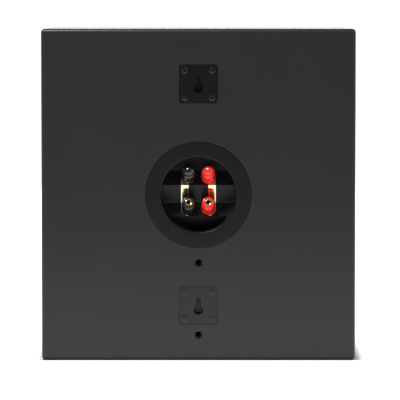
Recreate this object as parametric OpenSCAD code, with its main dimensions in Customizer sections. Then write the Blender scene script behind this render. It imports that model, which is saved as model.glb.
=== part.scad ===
// Bookshelf loudspeaker: sealed two-way cabinet with flush wall hardware and a twin-input terminal cup.
// X runs across the cabinet, Y from the front (-Y) to the back (+Y), Z up. The origin is on the
// underside, in the middle of the footprint.

/* [Cabinet] */
// Overall width of the cabinet
cabinet_w = 303; // [252:1:380]
// Overall height of the cabinet
cabinet_h = 320; // [320:1:400]
// Overall depth of the cabinet
cabinet_d = 270; // [225:1:340]
// Thickness of the top, bottom and side panels
wall_t = 18; // [15:0.5:24]
// Thickness of the front baffle
baffle_t = 25; // [24:0.5:32]
// Thickness of the rear panel
rear_t = 18; // [18:0.5:25]
// Radius of the outer edges
edge_r = 4; // [2:0.5:6]
// Thickness of the window brace
brace_t = 16; // [12:1:20]
// Width of the brace's rails
brace_rail = 28; // [20:1:36]
// Thickness of the damping foam
foam_t = 25; // [10:1:30]

/* [Wall hardware] */
// Side of each square keyhole plate
plate_side = 37; // [37:0.5:46]
// Thickness of a keyhole plate
plate_t = 1.6; // [1.2:0.1:2]
// Corner radius of a keyhole plate
plate_corner_r = 3; // [2:0.5:5]
// Distance from a keyhole plate's centre to the nearer end of the cabinet
plate_inset = 53; // [50:0.5:56]
// Radius of the keyhole's round opening
keyhole_r = 4.5; // [4:0.1:5.4]
// Half width of the keyhole's slot
keyslot_r = 2.3; // [2:0.1:2.8]
// Distance from the round opening's centre to the slot's centre
keyslot_run = 10; // [8:0.5:11]
// Distance of the round opening's centre below the plate's centre
keyhole_drop = 4.3; // [3:0.1:5]
// Spacing of the two bracket threads
tee_pitch = 69.85; // [60:0.05:72]
// Height of the lower bracket thread above the base
tee_height = 24.7; // [22:0.1:27]
// Thread bore radius of the bracket threads
tee_bore_r = 2.6; // [2.3:0.1:3.1]
// Barrel radius of the tee nuts
tee_barrel_r = 3.95; // [3.9:0.05:4.8]

/* [Terminal cup] */
// Width of the flange round the recess
cup_rim_w = 14.6; // [13:0.1:18]
// Thickness of the cup's flange
cup_flange_t = 3; // [2.5:0.1:3.6]
// Radius of the recess at its mouth
cup_recess_r = 36.4; // [32:0.1:44]
// Thickness of the cup's round wall
cup_wall_t = 2.2; // [1.8:0.1:2.8]
// Thickness of the stepped floor
cup_floor_t = 3; // [2:0.1:3.6]
// Depth of the floor's ridges below the flange face
cup_ridge_depth = 13.5; // [13.5:0.1:16.5]
// Half height of each mounting face
cup_face_half = 6.5; // [6.3:0.1:7.4]
// Upward tilt of the mounting faces and posts
post_tilt = 30; // [25:1:32]
// Distance between the black and red posts
post_pitch_x = 19; // [18:0.1:22]
// Distance between the upper and lower posts
post_pitch_y = 30.5; // [27:0.1:37]

/* [Binding posts] */
// Thread radius of a post
post_r = 3; // [2.6:0.1:3.2]
// Radius of the plug socket in a post
socket_r = 2; // [1.8:0.05:2.1]
// Length of a post outside the mounting face
post_front = 16; // [14:0.5:17]
// Length of a post behind the mounting face
post_rear = 15; // [12:0.5:18]
// Radius of a cap's foot
cap_foot_r = 6.9; // [6.6:0.1:7.2]
// Radius of a cap's nose
cap_nose_r = 5.6; // [4.9:0.1:5.8]
// Number of grip flutes round a cap
cap_flutes = 12; // [8:1:18]
// Thickness of a jumper link
link_t = 0.8; // [0.5:0.1:1]
// Width of a jumper link
link_r = 7.4; // [6:0.1:7.4]

/* [Woofer] */
// Radius of the woofer's frame
woofer_frame_r = 90; // [74:0.5:92]
// Thickness of the frame's flange
woofer_flange_t = 5; // [4:0.1:6]
// Width of the frame's flange
woofer_flange_w = 10; // [9:0.5:12]
// Width of the surround's roll
surround_w = 9.3; // [7:0.1:11]
// Radius of the voice coil former
coil_r = 19.4; // [17:0.1:20]
// Half width of the magnetic gap's air spaces
coil_gap = 0.6; // [0.4:0.1:0.8]
// Radius of the magnet
magnet_r = 52; // [50:0.5:58]
// Number of frame screws
woofer_screw_count = 8; // [4:1:8]

/* [Tweeter] */
// Radius of the tweeter's faceplate
tweeter_plate_r = 50; // [46:0.5:52]
// Thickness of the tweeter's faceplate
tweeter_plate_t = 4; // [3:0.1:5]
// Radius of the dome
dome_r = 12.7; // [12:0.1:14]
// Height of the dome
dome_h = 5; // [4:0.1:6]
// Mouth radius of the flare
flare_r = 31; // [24:0.5:34]

/* [Crossover] */
// Length of the circuit board across the cabinet
board_w = 130; // [125:1:160]
// Length of the circuit board from front to back
board_d = 80; // [78:1:84]
// Height of the board's standoffs
standoff_h = 8; // [5:0.5:12]

/* [Fits] */
// Space round parts that drop into a rebate
rebate_gap = 0.3; // [0.1:0.1:0.5]
// Radial space between a thread and its nut, or a pin and its socket
thread_gap = 0.05; // [0.03:0.01:0.1]
// Thickness of a sealing gasket
gasket_t = 1; // [0.5:0.1:1.5]
// Shank radius of the small countersunk screws
screw_r = 1.6; // [1.3:0.1:1.8]
// Head radius of the small countersunk screws
screw_head_r = 3.2; // [2.8:0.1:3.4]

/* [Hidden] */
$fn = 96;
cut = 1; // how far a cutting tool runs past the face it opens

satin_black = [0.2, 0.2, 0.205];
plate_black = [0.07, 0.07, 0.07];
cup_black = [0.11, 0.11, 0.11];
gold = [0.86, 0.72, 0.36];
post_red = [0.85, 0.12, 0.1];
post_black = [0.05, 0.05, 0.05];
steel = [0.62, 0.63, 0.65];

front_y = -cabinet_d / 2;
rear_y = cabinet_d / 2;
woofer_body_r = woofer_frame_r - woofer_flange_w;
inner_w = cabinet_w - 2 * wall_t;
inner_h = cabinet_h - 2 * wall_t;
inner_front_y = front_y + baffle_t;
inner_rear_y = rear_y - rear_t;

driver_gap = 8; // between the edges of the two drivers
spare_h = cabinet_h - 2 * (woofer_frame_r + tweeter_plate_r) - driver_gap;
woofer_height = spare_h * 0.56 + woofer_frame_r;
tweeter_height = woofer_height + woofer_frame_r + driver_gap + tweeter_plate_r;

// The woofer's motor, as depths behind the baffle's face.
plate_top_z = -69;
plate_bottom_z = plate_top_z - 6;
magnet_bottom_z = plate_bottom_z - 18;
yoke_bottom_z = magnet_bottom_z - 7;
woofer_depth = -yoke_bottom_z;

brace_y = front_y + woofer_depth + 5; // the brace's front face

// ---------- places on the cabinet ----------

// Children are drawn as seen from behind: X to the right, Y up, Z out of the rear face.
module on_rear(height = cabinet_h / 2) {
    translate([0, rear_y, height]) rotate([90, 0, 180]) children();
}

// Children are drawn as seen from the front: X to the right, Y up, Z out of the baffle.
module on_front(height) {
    translate([0, front_y, height]) rotate([90, 0, 0]) children();
}

module ring(outer, inner, low, high) {
    translate([0, 0, low]) difference() {
        cylinder(r = outer, h = high - low);
        translate([0, 0, -cut]) cylinder(r = inner, h = high - low + 2 * cut);
    }
}

module rounded_square(w, h, r) {
    square([w - 2 * r, h], center = true);
    square([w, h - 2 * r], center = true);
    for (x = [-1, 1], y = [-1, 1])
        translate([x * (w / 2 - r), y * (h / 2 - r)]) circle(r = r);
}

// An outline in Y and Z, drawn out along X.
module along_x(length) {
    rotate([90, 0, 90]) linear_extrude(length, center = true) children();
}

// ---------- countersunk wood screw, flush with Z = 0 ----------

screw_head_h = 1.5;
screw_length = 16;

module screw_shape(gap = 0) {
    translate([0, 0, -screw_head_h])
        cylinder(r1 = screw_r + gap, r2 = screw_head_r + gap, h = screw_head_h);
    translate([0, 0, -screw_length - gap]) cylinder(r = screw_r + gap, h = screw_length);
}

// The hole that the screw drops into, opened a little above the face.
module screw_hole() {
    screw_shape(thread_gap);
    translate([0, 0, -0.01]) cylinder(r = screw_head_r + thread_gap, h = cut);
}

module cross_recess(size, depth) {
    for (turn = [0, 90]) rotate([0, 0, turn])
        translate([-size / 2, -size / 8, -depth]) cube([size, size / 4, depth + cut]);
}

module screw(turn = 20) {
    difference() {
        screw_shape();
        rotate([0, 0, turn]) cross_recess(screw_head_r * 1.2, 1);
    }
}

// ---------- cabinet ----------

module cabinet_block() {
    translate([0, 0, cabinet_h / 2]) intersection() {
        linear_extrude(cabinet_h, center = true) rounded_square(cabinet_w, cabinet_d, edge_r);
        rotate([90, 0, 0]) linear_extrude(cabinet_d, center = true)
            rounded_square(cabinet_w, cabinet_h, edge_r);
        along_x(cabinet_w) rounded_square(cabinet_d, cabinet_h, edge_r);
    }
}

module slab(low_y, high_y) {
    translate([-cabinet_w, low_y, -cut]) cube([2 * cabinet_w, high_y - low_y, cabinet_h + 2 * cut]);
}

// One mitred wall: side 0 is the right, 1 the top, 2 the left and 3 the bottom.
module wall_panel(side) {
    w = cabinet_w / 2;
    h = cabinet_h / 2;
    corners = [[w, -h], [w, h], [-w, h], [-w, -h]];
    from = corners[side];
    to = corners[(side + 1) % 4];
    inset = [1 - wall_t / w, 1 - wall_t / h];
    color(satin_black) intersection() {
        cabinet_block();
        translate([0, inner_rear_y, h]) rotate([90, 0, 0])
            linear_extrude(inner_rear_y - inner_front_y)
                polygon([from, to, [to.x * inset.x, to.y * inset.y],
                    [from.x * inset.x, from.y * inset.y]]);
    }
}

module side_panel_right() { wall_panel(0); }
module top_panel() { wall_panel(1); }
module side_panel_left() { wall_panel(2); }

module bottom_panel() {
    difference() {
        wall_panel(3);
        at_standoffs() translate([0, 0, -standoff_peg]) cylinder(r = standoff_peg_r, h = standoff_peg + cut);
    }
}

socket_inset = 20; // from the baffle's edges to a grille socket's centre
grille_socket_r = 5;
grille_socket_bore_r = 3.1;
grille_socket_length = 12;

module at_grille_sockets() {
    for (x = [-1, 1], y = [-1, 1])
        translate([x * (cabinet_w / 2 - socket_inset), y * (cabinet_h / 2 - socket_inset), 0]) children();
}

module front_baffle() {
    color(satin_black) difference() {
        intersection() {
            cabinet_block();
            slab(front_y, inner_front_y);
        }
        on_front(woofer_height) {
            translate([0, 0, -woofer_flange_t - gasket_t])
                cylinder(r = woofer_frame_r + rebate_gap, h = woofer_flange_t + gasket_t + cut);
            translate([0, 0, -baffle_t - cut])
                cylinder(r = woofer_body_r + rebate_gap, h = baffle_t + 2 * cut);
            at_woofer_screws() woofer_screw_shape(thread_gap);
        }
        on_front(tweeter_height) {
            translate([0, 0, -tweeter_plate_t])
                cylinder(r = tweeter_plate_r + rebate_gap, h = tweeter_plate_t + cut);
            translate([0, 0, -baffle_t - cut])
                cylinder(r = tweeter_body_r + rebate_gap, h = baffle_t + 2 * cut);
            at_tweeter_screws() screw_hole();
        }
        on_front(cabinet_h / 2) at_grille_sockets()
            translate([0, 0, -grille_socket_length])
                cylinder(r = grille_socket_r, h = grille_socket_length + cut);
    }
}

module grille_sockets() {
    color(post_black) on_front(cabinet_h / 2) at_grille_sockets() difference() {
        translate([0, 0, -grille_socket_length]) cylinder(r = grille_socket_r, h = grille_socket_length);
        translate([0, 0, -grille_socket_length + 2])
            cylinder(r = grille_socket_bore_r, h = grille_socket_length);
    }
}

pocket_depth = 11; // from the rear face to the bottom of the pocket behind a keyhole
pocket_r = keyhole_r + 2;

module rear_panel() {
    color(satin_black) difference() {
        intersection() {
            cabinet_block();
            slab(inner_rear_y, rear_y);
        }
        on_rear() {
            cup_seat = cup_flange_t + gasket_t;
            translate([0, 0, -cup_seat]) cylinder(r = cup_flange_r + rebate_gap, h = cup_seat + cut);
            translate([0, 0, -rear_t - cut]) cylinder(r = cup_body_r + rebate_gap, h = rear_t + 2 * cut);
            at_cup_screws() screw_hole();
        }
        at_keyhole_plates() {
            translate([0, 0, -plate_t]) linear_extrude(plate_t + cut)
                rounded_square(plate_side + 2 * rebate_gap, plate_side + 2 * rebate_gap,
                    plate_corner_r + rebate_gap);
            translate([0, 0, -pocket_depth]) linear_extrude(pocket_depth)
                keyhole_outline(pocket_r, pocket_r);
            at_plate_screws() screw_hole();
        }
        at_tee_nuts() {
            translate([0, 0, -rear_t - cut]) cylinder(r = tee_barrel_r + 0.15, h = rear_t + 2 * cut);
            translate([0, 0, -rear_t - cut]) cylinder(r = tee_flange_r + rebate_gap, h = tee_flange_t + cut);
        }
    }
}

module window_brace() {
    window_w = inner_w - 2 * brace_rail;
    window_h = (inner_h - 3 * brace_rail) / 2;
    color([0.62, 0.5, 0.36]) translate([0, brace_y + brace_t, cabinet_h / 2]) rotate([90, 0, 0])
        linear_extrude(brace_t) difference() {
            square([inner_w, inner_h], center = true);
            for (y = [-1, 1]) translate([0, y * (window_h + brace_rail) / 2])
                rounded_square(window_w, window_h, 12);
        }
}

foam_gap = 3; // between the foam sheets and their neighbours
rear_foam_h = 80;

// Foam sheets on both sides, on the top and high on the rear panel, behind the brace.
module damping_foam() {
    low_y = brace_y + brace_t + foam_gap;
    length = inner_rear_y - foam_t - foam_gap - low_y;
    side_foot = wall_t + 2 * foam_gap;
    side_h = inner_h - foam_t - 4 * foam_gap;
    color([0.16, 0.16, 0.17]) {
        for (side = [-1, 1])
            translate([side * (inner_w - foam_t) / 2, low_y + length / 2, side_foot + side_h / 2])
                cube([foam_t, length, side_h], center = true);
        translate([0, low_y + length / 2, cabinet_h - wall_t - foam_t / 2])
            cube([inner_w, length, foam_t], center = true);
        translate([0, inner_rear_y - foam_t / 2, cabinet_h - wall_t - foam_gap - rear_foam_h / 2])
            cube([inner_w - 6 * foam_gap, foam_t, rear_foam_h], center = true);
    }
}

// ---------- wall hardware ----------

module at_keyhole_plates() {
    for (height = [plate_inset, cabinet_h - plate_inset]) on_rear(height) children();
}

plate_screw_offset = plate_side / 2 - 5.3;

module at_plate_screws() {
    for (x = [-1, 1], y = [-1, 1]) translate([x * plate_screw_offset, y * plate_screw_offset, 0]) children();
}

module keyhole_outline(hole_r, slot_r) {
    translate([0, -keyhole_drop]) circle(r = hole_r);
    translate([-slot_r, -keyhole_drop]) square([2 * slot_r, keyslot_run]);
    translate([0, keyslot_run - keyhole_drop]) circle(r = slot_r);
}

module keyhole_plate() {
    difference() {
        translate([0, 0, -plate_t]) linear_extrude(plate_t)
            rounded_square(plate_side, plate_side, plate_corner_r);
        translate([0, 0, -plate_t - cut]) linear_extrude(plate_t + 2 * cut)
            keyhole_outline(keyhole_r, keyslot_r);
        at_plate_screws() screw_hole();
    }
}

module keyhole_plate_upper() { color(plate_black) on_rear(cabinet_h - plate_inset) keyhole_plate(); }
module keyhole_plate_lower() { color(satin_black) on_rear(plate_inset) keyhole_plate(); }
module keyhole_plate_screws() { color(plate_black) at_keyhole_plates() at_plate_screws() screw(35); }

tee_flange_r = 9.5;
tee_flange_t = 1.6;
tee_recess = 4; // from the rear face down to the barrel's mouth

module at_tee_nuts() {
    for (height = [tee_height, tee_height + tee_pitch]) on_rear(height) children();
}

module bracket_tee_nuts() {
    color(steel) at_tee_nuts() difference() {
        union() {
            translate([0, 0, -rear_t]) cylinder(r = tee_flange_r, h = tee_flange_t);
            translate([0, 0, -rear_t]) cylinder(r = tee_barrel_r, h = rear_t - tee_recess);
        }
        translate([0, 0, -rear_t - cut]) cylinder(r = tee_bore_r, h = rear_t + 2 * cut);
    }
}

// ---------- terminal cup ----------

cup_flange_r = cup_recess_r + cup_rim_w;
cup_body_r = cup_recess_r + cup_wall_t;
cup_screw_circle_r = (cup_flange_r + cup_body_r) / 2 + 0.7;
cup_draft = 1; // how much narrower the recess is at its deepest point
cup_edge = 0.5; // chamfer round the flange
cup_lip = 0.8; // chamfer round the mouth of the recess
cup_reach = cup_recess_r + 5; // half height of the floor's outline, past the recess at both ends
face_drop = 2 * cup_face_half * tan(post_tilt);
ridge_z = -cup_ridge_depth;
valley_z = ridge_z - face_drop;
riser_slope = face_drop / (post_pitch_y - 2 * cup_face_half);
post_base_z = (ridge_z + valley_z) / 2;
cup_depth = -valley_z + cup_floor_t / cos(post_tilt);

// The stepped floor's outline, in Y and Z, from the top of the cup to its bottom.
function floor_line(lift = 0, reach = cup_reach) = let (
    end = post_pitch_y / 2 + cup_face_half,
    step = post_pitch_y / 2 - cup_face_half
) [
    [reach, valley_z + lift], [end, valley_z + lift],
    [step, ridge_z + lift], [-step, valley_z + lift], [-end, ridge_z + lift],
    [-reach, ridge_z - (reach - end) * riser_slope + lift]
];

module at_cup_screws() {
    for (turn = [45:90:315]) rotate([0, 0, turn]) translate([cup_screw_circle_r, 0, 0]) children();
}

// Children are drawn on a post's own axis, with Z = 0 on the mounting face.
// column -1 is black and +1 is red; row +1 is the upper pair and -1 the lower.
module at_post(column, row) {
    on_rear() translate([column * post_pitch_x / 2, row * post_pitch_y / 2, post_base_z])
        rotate([-post_tilt, 0, 0]) children();
}

module at_all_posts() {
    for (column = [-1, 1], row = [-1, 1]) at_post(column, row) children();
}

post_collar_r = post_r + 1.6;
post_collar_t = 1.5;

module terminal_cup() {
    below = 2 * cup_depth;
    color(cup_black) difference() {
        on_rear() difference() {
            union() {
                translate([0, 0, -cup_flange_t]) cylinder(r = cup_flange_r, h = cup_flange_t - cup_edge);
                translate([0, 0, -cup_edge])
                    cylinder(r1 = cup_flange_r, r2 = cup_flange_r - cup_edge, h = cup_edge);
                translate([0, 0, -cup_depth]) cylinder(r = cup_body_r, h = cup_depth - cup_flange_t + cut);
            }
            intersection() {
                translate([0, 0, valley_z - cut])
                    cylinder(r1 = cup_recess_r - cup_draft, r2 = cup_recess_r, h = -valley_z + 2 * cut);
                along_x(3 * cup_reach) polygon(concat(floor_line(), [[-cup_reach, 5], [cup_reach, 5]]));
            }
            translate([0, 0, -cup_lip])
                cylinder(r1 = cup_recess_r - 0.1, r2 = cup_recess_r + cup_lip, h = cup_lip + 0.1);
            intersection() {
                translate([0, 0, -cup_depth - cut])
                    cylinder(r = cup_recess_r - cup_draft, h = cup_depth + cut);
                along_x(3 * cup_reach) polygon(concat(floor_line(-cup_floor_t / cos(post_tilt)),
                    [[-cup_reach, -below], [cup_reach, -below]]));
            }
            at_cup_screws() screw_hole();
        }
        at_all_posts() {
            translate([0, 0, -post_collar_t])
                cylinder(r = post_collar_r + thread_gap, h = post_collar_t + 0.4);
            translate([0, 0, -cup_floor_t - cut]) cylinder(r = post_r + thread_gap, h = cup_floor_t + cut);
        }
    }
}

module terminal_cup_gasket() {
    color([0.05, 0.05, 0.05]) on_rear() difference() {
        ring(cup_flange_r - 0.5, cup_body_r + rebate_gap, -cup_flange_t - gasket_t, -cup_flange_t);
        at_cup_screws() screw_hole();
    }
}

module terminal_cup_screws() {
    color(post_black) on_rear() at_cup_screws() screw(10);
}

// ---------- binding posts ----------

clamp_gap = 0.3; // space under and over a link when its caps are slack
cap_foot = clamp_gap + link_t + clamp_gap; // from the mounting face to a cap's underside
socket_floor = 5.5; // height of a plug socket's floor above the mounting face
socket_depth = post_front - socket_floor;
wire_hole_r = 1;
wire_hole_height = 3.4;

module post(column, row) {
    color(gold) at_post(column, row) difference() {
        union() {
            translate([0, 0, -post_rear]) cylinder(r = post_r, h = post_rear + post_front);
            translate([0, 0, -post_collar_t]) cylinder(r = post_collar_r, h = post_collar_t);
        }
        translate([0, 0, post_front - socket_depth]) cylinder(r = socket_r, h = socket_depth + cut);
        translate([0, 0, wire_hole_height]) rotate([0, 90, 0])
            cylinder(r = wire_hole_r, h = 4 * post_r, center = true);
    }
}

module post_upper_black() { post(-1, 1); }
module post_upper_red() { post(1, 1); }
module post_lower_black() { post(-1, -1); }
module post_lower_red() { post(1, -1); }

lug_t = 0.6;
lug_w = 4.8;
lug_reach = 14;
nut_t = 3;
nut_flats = 10;

module solder_lugs() {
    color(gold) for (column = [-1, 1], row = [-1, 1]) at_post(column, row)
        translate([0, 0, -cup_floor_t - lug_t]) difference() {
            union() {
                cylinder(r = post_r + 2, h = lug_t);
                translate([column > 0 ? 0 : -lug_reach, -lug_w / 2, 0]) cube([lug_reach, lug_w, lug_t]);
            }
            translate([0, 0, -cut]) cylinder(r = post_r + thread_gap, h = lug_t + 2 * cut);
        }
}

module post_nuts() {
    color(steel) at_all_posts() translate([0, 0, -cup_floor_t - lug_t - nut_t]) difference() {
        cylinder(r = nut_flats / sqrt(3), h = nut_t, $fn = 6);
        translate([0, 0, -cut]) cylinder(r = post_r + thread_gap, h = nut_t + 2 * cut);
    }
}

bush_wall_r = post_r + 1.1;
bush_nose_r = post_r + 0.45;
bush_foot_r = post_r + 2.2;
bush_foot_t = 1;
nose_t = 1.4; // length of the narrow ring that shows at a cap's end

// Threaded metal bush inside a cap. It travels along the post while the cap turns on it.
module bush(column, row) {
    color(gold) at_post(column, row) difference() {
        union() {
            translate([0, 0, cap_foot]) cylinder(r = bush_foot_r, h = bush_foot_t);
            translate([0, 0, cap_foot]) cylinder(r = bush_wall_r, h = post_front - nose_t - cap_foot);
            translate([0, 0, cap_foot]) cylinder(r = bush_nose_r, h = post_front - cap_foot);
        }
        cylinder(r = post_r + thread_gap, h = post_front + cut);
    }
}

module bush_upper_black() { bush(-1, 1); }
module bush_upper_red() { bush(1, 1); }
module bush_lower_black() { bush(-1, -1); }
module bush_lower_red() { bush(1, -1); }

flute_r = 0.9;
grip_start = 2.6; // from a cap's underside to the start of its grip
grip_end = post_front - 5.4;
grip_r = cap_foot_r - 0.3;
nose_chamfer = 0.6;

module cap(column, row, colour) {
    nose = post_front;
    foot = cap_foot;
    color(colour) at_post(column, row) difference() {
        rotate_extrude() polygon([
            [bush_foot_r + thread_gap, foot], [cap_foot_r, foot], [cap_foot_r, foot + grip_start - 0.4],
            [grip_r, foot + grip_start], [grip_r, foot + grip_end],
            [cap_nose_r + 0.1, foot + grip_end + 1.8], [cap_nose_r, nose - nose_chamfer],
            [cap_nose_r - nose_chamfer, nose],
            [bush_nose_r + thread_gap, nose], [bush_nose_r + thread_gap, nose - nose_t + thread_gap],
            [bush_wall_r + thread_gap, nose - nose_t + thread_gap],
            [bush_wall_r + thread_gap, foot + bush_foot_t + thread_gap],
            [bush_foot_r + thread_gap, foot + bush_foot_t + thread_gap]
        ]);
        for (i = [0:cap_flutes - 1]) rotate([0, 0, i * 360 / cap_flutes])
            translate([grip_r + 0.5, 0, foot + grip_start + 0.4])
                cylinder(r = flute_r, h = post_front, $fn = 24);
    }
}

module cap_upper_black() { cap(-1, 1, post_black); }
module cap_upper_red() { cap(1, 1, post_red); }
module cap_lower_black() { cap(-1, -1, post_black); }
module cap_lower_red() { cap(1, -1, post_red); }

plug_head_r = cap_nose_r - 0.9;
plug_dome_h = 2.4;
plug_rim = 0.5;
plug_pin = 9;

// Blanking plug that closes the socket of an upper post.
module end_plug(column, colour) {
    dome_sphere_r = (plug_head_r ^ 2 + plug_dome_h ^ 2) / (2 * plug_dome_h);
    color(colour) at_post(column, 1) translate([0, 0, post_front]) {
        cylinder(r = plug_head_r, h = plug_rim);
        intersection() {
            translate([0, 0, plug_rim + plug_dome_h - dome_sphere_r]) sphere(r = dome_sphere_r);
            cylinder(r = plug_head_r, h = plug_rim + 2 * plug_dome_h);
        }
        translate([0, 0, -plug_pin]) cylinder(r = socket_r - thread_gap, h = plug_pin + plug_rim);
    }
}

module end_plug_black() { end_plug(-1, post_black); }
module end_plug_red() { end_plug(1, post_red); }

link_notch_gap = 0.3;

// Bent plate that joins an upper post to a lower one. It hooks round the posts from outside.
module jumper_link(column) {
    low = clamp_gap / cos(post_tilt);
    high = low + link_t / cos(post_tilt);
    color(gold) on_rear() difference() {
        intersection() {
            translate([column * (post_pitch_x + link_r) / 2, 0, 0]) along_x(link_r)
                polygon(concat([for (i = [1:4]) floor_line(low)[i]],
                    [for (i = [4:-1:1]) floor_line(high)[i]]));
            translate([column * post_pitch_x / 2, 0, post_base_z]) rotate([-post_tilt, 0, 0]) {
                for (row = [-1, 1]) translate([0, row * post_pitch_y / 2 * cos(post_tilt), 0])
                    cylinder(r = link_r, h = 2 * cup_depth, center = true);
                cube([4 * link_r, post_pitch_y * cos(post_tilt), 2 * cup_depth], center = true);
            }
        }
        for (row = [-1, 1]) translate([column * post_pitch_x / 2, row * post_pitch_y / 2, post_base_z])
            rotate([-post_tilt, 0, 0])
                cylinder(r = post_r + link_notch_gap, h = 2 * cup_depth, center = true);
    }
}

module jumper_link_black() { jumper_link(-1); }
module jumper_link_red() { jumper_link(1); }

// ---------- woofer, drawn with Z out of the baffle and Z = 0 on the baffle's face ----------

seat_z = -6.5;          // ledge that the surround is glued to
skin_t = 0.8;           // thickness of the cone, the surround and the spider
seat_in_r = woofer_body_r - 7.2;
seat_out_r = woofer_body_r - 2;
roll_in_r = seat_in_r - surround_w;
cone_r = roll_in_r - 0.1;
cone_edge_w = 4.2; // flat edge of the cone, under the surround
neck_z = seat_z - 29.5;
former_t = 0.4;
neck_r = coil_r + former_t / 2;
coil_wire_t = 0.8;
pole_r = neck_r - former_t - coil_gap;
gap_outer_r = neck_r + coil_wire_t + coil_gap;
spider_z = -52.1;
spider_out_r = 47;
spider_in_r = 41;

woofer_screw_circle_r = (woofer_frame_r + woofer_body_r) / 2 + 0.5;
woofer_screw_r = 1.95;
woofer_screw_head_r = 3.4;
woofer_screw_head_h = 2.6;
woofer_screw_length = 21;
woofer_screw_gap = 0.2;
hex_recess = 1.6; // depth of a frame screw's hexagon, and nearly its radius

module at_woofer_screws() {
    for (i = [0:woofer_screw_count - 1]) rotate([0, 0, (i + 0.5) * 360 / woofer_screw_count])
        translate([woofer_screw_circle_r, 0, 0]) children();
}

module woofer_screw_shape(gap = 0) {
    translate([0, 0, -woofer_screw_head_h - gap])
        cylinder(r = woofer_screw_head_r + gap, h = woofer_screw_head_h + gap);
    translate([0, 0, -woofer_screw_length - gap])
        cylinder(r = woofer_screw_r + gap, h = woofer_screw_length - 1);
}

module woofer_screw_hole() {
    woofer_screw_shape(woofer_screw_gap);
    translate([0, 0, -0.01]) cylinder(r = woofer_screw_head_r + woofer_screw_gap, h = cut);
}

basket_t = 3.5;
basket_back_z = -17; // where the spokes leave the round wall
rear_ring_r = 50;
spoke_w = 18;

module woofer_frame() {
    body = woofer_body_r;
    ring_z = plate_top_z + 3;
    color([0.1, 0.1, 0.1]) on_front(woofer_height) difference() {
        union() {
            rotate_extrude() polygon([
                [seat_out_r, 0], [woofer_frame_r - 0.6, 0], [woofer_frame_r, -0.6],
                [woofer_frame_r, -woofer_flange_t], [body, -woofer_flange_t], [body, basket_back_z],
                [body - basket_t, basket_back_z], [body - basket_t, seat_z - 2], [seat_in_r, seat_z - 2],
                [seat_in_r, seat_z], [seat_out_r, seat_z]
            ]);
            intersection() {
                rotate_extrude() polygon([
                    [body - basket_t, basket_back_z + 5], [body, basket_back_z + 5], [body, basket_back_z],
                    [rear_ring_r, ring_z], [rear_ring_r - 4.5, ring_z], [body - basket_t, basket_back_z]
                ]);
                for (i = [0:5]) rotate([0, 0, 60 * i]) translate([0, -spoke_w / 2, plate_top_z])
                    cube([woofer_frame_r, spoke_w, -plate_top_z]);
            }
            ring(rear_ring_r, coil_r + 10, plate_top_z, ring_z + 0.5);
            ring(rear_ring_r + 6, spider_in_r, spider_z - 3, spider_z - skin_t / 2);
        }
        at_woofer_screws() woofer_screw_hole();
    }
}

module woofer_gasket() {
    color([0.06, 0.06, 0.06]) on_front(woofer_height) difference() {
        ring(woofer_frame_r - 0.5, woofer_body_r + 0.5, -woofer_flange_t - gasket_t, -woofer_flange_t);
        at_woofer_screws() woofer_screw_hole();
    }
}

module woofer_screws() {
    color([0.12, 0.12, 0.12]) on_front(woofer_height) at_woofer_screws() difference() {
        woofer_screw_shape();
        translate([0, 0, -hex_recess]) cylinder(r = hex_recess + 0.1, h = hex_recess + cut, $fn = 6);
    }
}

module woofer_surround() {
    roll_mid_r = (roll_in_r + seat_in_r) / 2;
    roll_r = (seat_in_r - roll_in_r) / 2;
    mid_z = seat_z + skin_t / 2;
    glue_w = cone_edge_w - 0.2;
    color([0.07, 0.07, 0.07]) on_front(woofer_height) rotate_extrude() {
        translate([roll_in_r - glue_w, seat_z]) square([glue_w, skin_t]);
        translate([seat_in_r, seat_z]) square([seat_out_r - seat_in_r - 0.1, skin_t]);
        difference() {
            translate([roll_mid_r, mid_z]) circle(r = roll_r + skin_t / 2);
            translate([roll_mid_r, mid_z]) circle(r = roll_r - skin_t / 2);
            translate([roll_mid_r - 2 * roll_r, seat_z - 4 * roll_r]) square([4 * roll_r, 4 * roll_r]);
        }
    }
}

module woofer_cone() {
    color([0.14, 0.14, 0.15]) on_front(woofer_height) rotate_extrude() polygon([
        [roll_in_r - cone_edge_w, seat_z], [cone_r, seat_z], [cone_r, seat_z - skin_t],
        [roll_in_r - cone_edge_w - 0.2, seat_z - skin_t], [neck_r, neck_z - skin_t], [neck_r, neck_z + 0.5]
    ]);
}

cap_seat_r = coil_r + 3;
dust_cap_h = 8;

module woofer_dust_cap() {
    sphere_r = (cap_seat_r ^ 2 + dust_cap_h ^ 2) / (2 * dust_cap_h);
    slope = (seat_z - neck_z - 0.5) / (roll_in_r - cone_edge_w - neck_r);
    base_z = neck_z + 0.5 + (cap_seat_r - neck_r) * slope;
    color([0.1, 0.1, 0.1]) on_front(woofer_height) intersection() {
        translate([0, 0, base_z + dust_cap_h - sphere_r]) difference() {
            sphere(r = sphere_r);
            sphere(r = sphere_r - skin_t);
        }
        translate([0, 0, base_z]) cylinder(r = cap_seat_r, h = 3 * dust_cap_h);
    }
}

module woofer_voice_coil() {
    winding = 15;
    mid_z = (plate_top_z + plate_bottom_z) / 2;
    color([0.72, 0.42, 0.22]) on_front(woofer_height) {
        ring(neck_r, neck_r - former_t, mid_z - winding / 2, neck_z + 1);
        ring(neck_r + coil_wire_t, neck_r, mid_z - winding / 2, mid_z + winding / 2);
    }
}

// Corrugated disc: three round waves between the coil former and the frame's ledge.
module woofer_spider() {
    waves = 3;
    height = 2;
    steps = 48;
    function wave(s) = [neck_r + s * (spider_in_r - neck_r), spider_z + height * sin(360 * waves * s)];
    color([0.75, 0.62, 0.3]) on_front(woofer_height) rotate_extrude() polygon(concat(
        [for (i = [0:steps]) wave(i / steps) + [0, skin_t / 2]],
        [[spider_out_r, spider_z + skin_t / 2], [spider_out_r, spider_z - skin_t / 2]],
        [for (i = [steps:-1:0]) wave(i / steps) - [0, skin_t / 2]]
    ));
}

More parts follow.
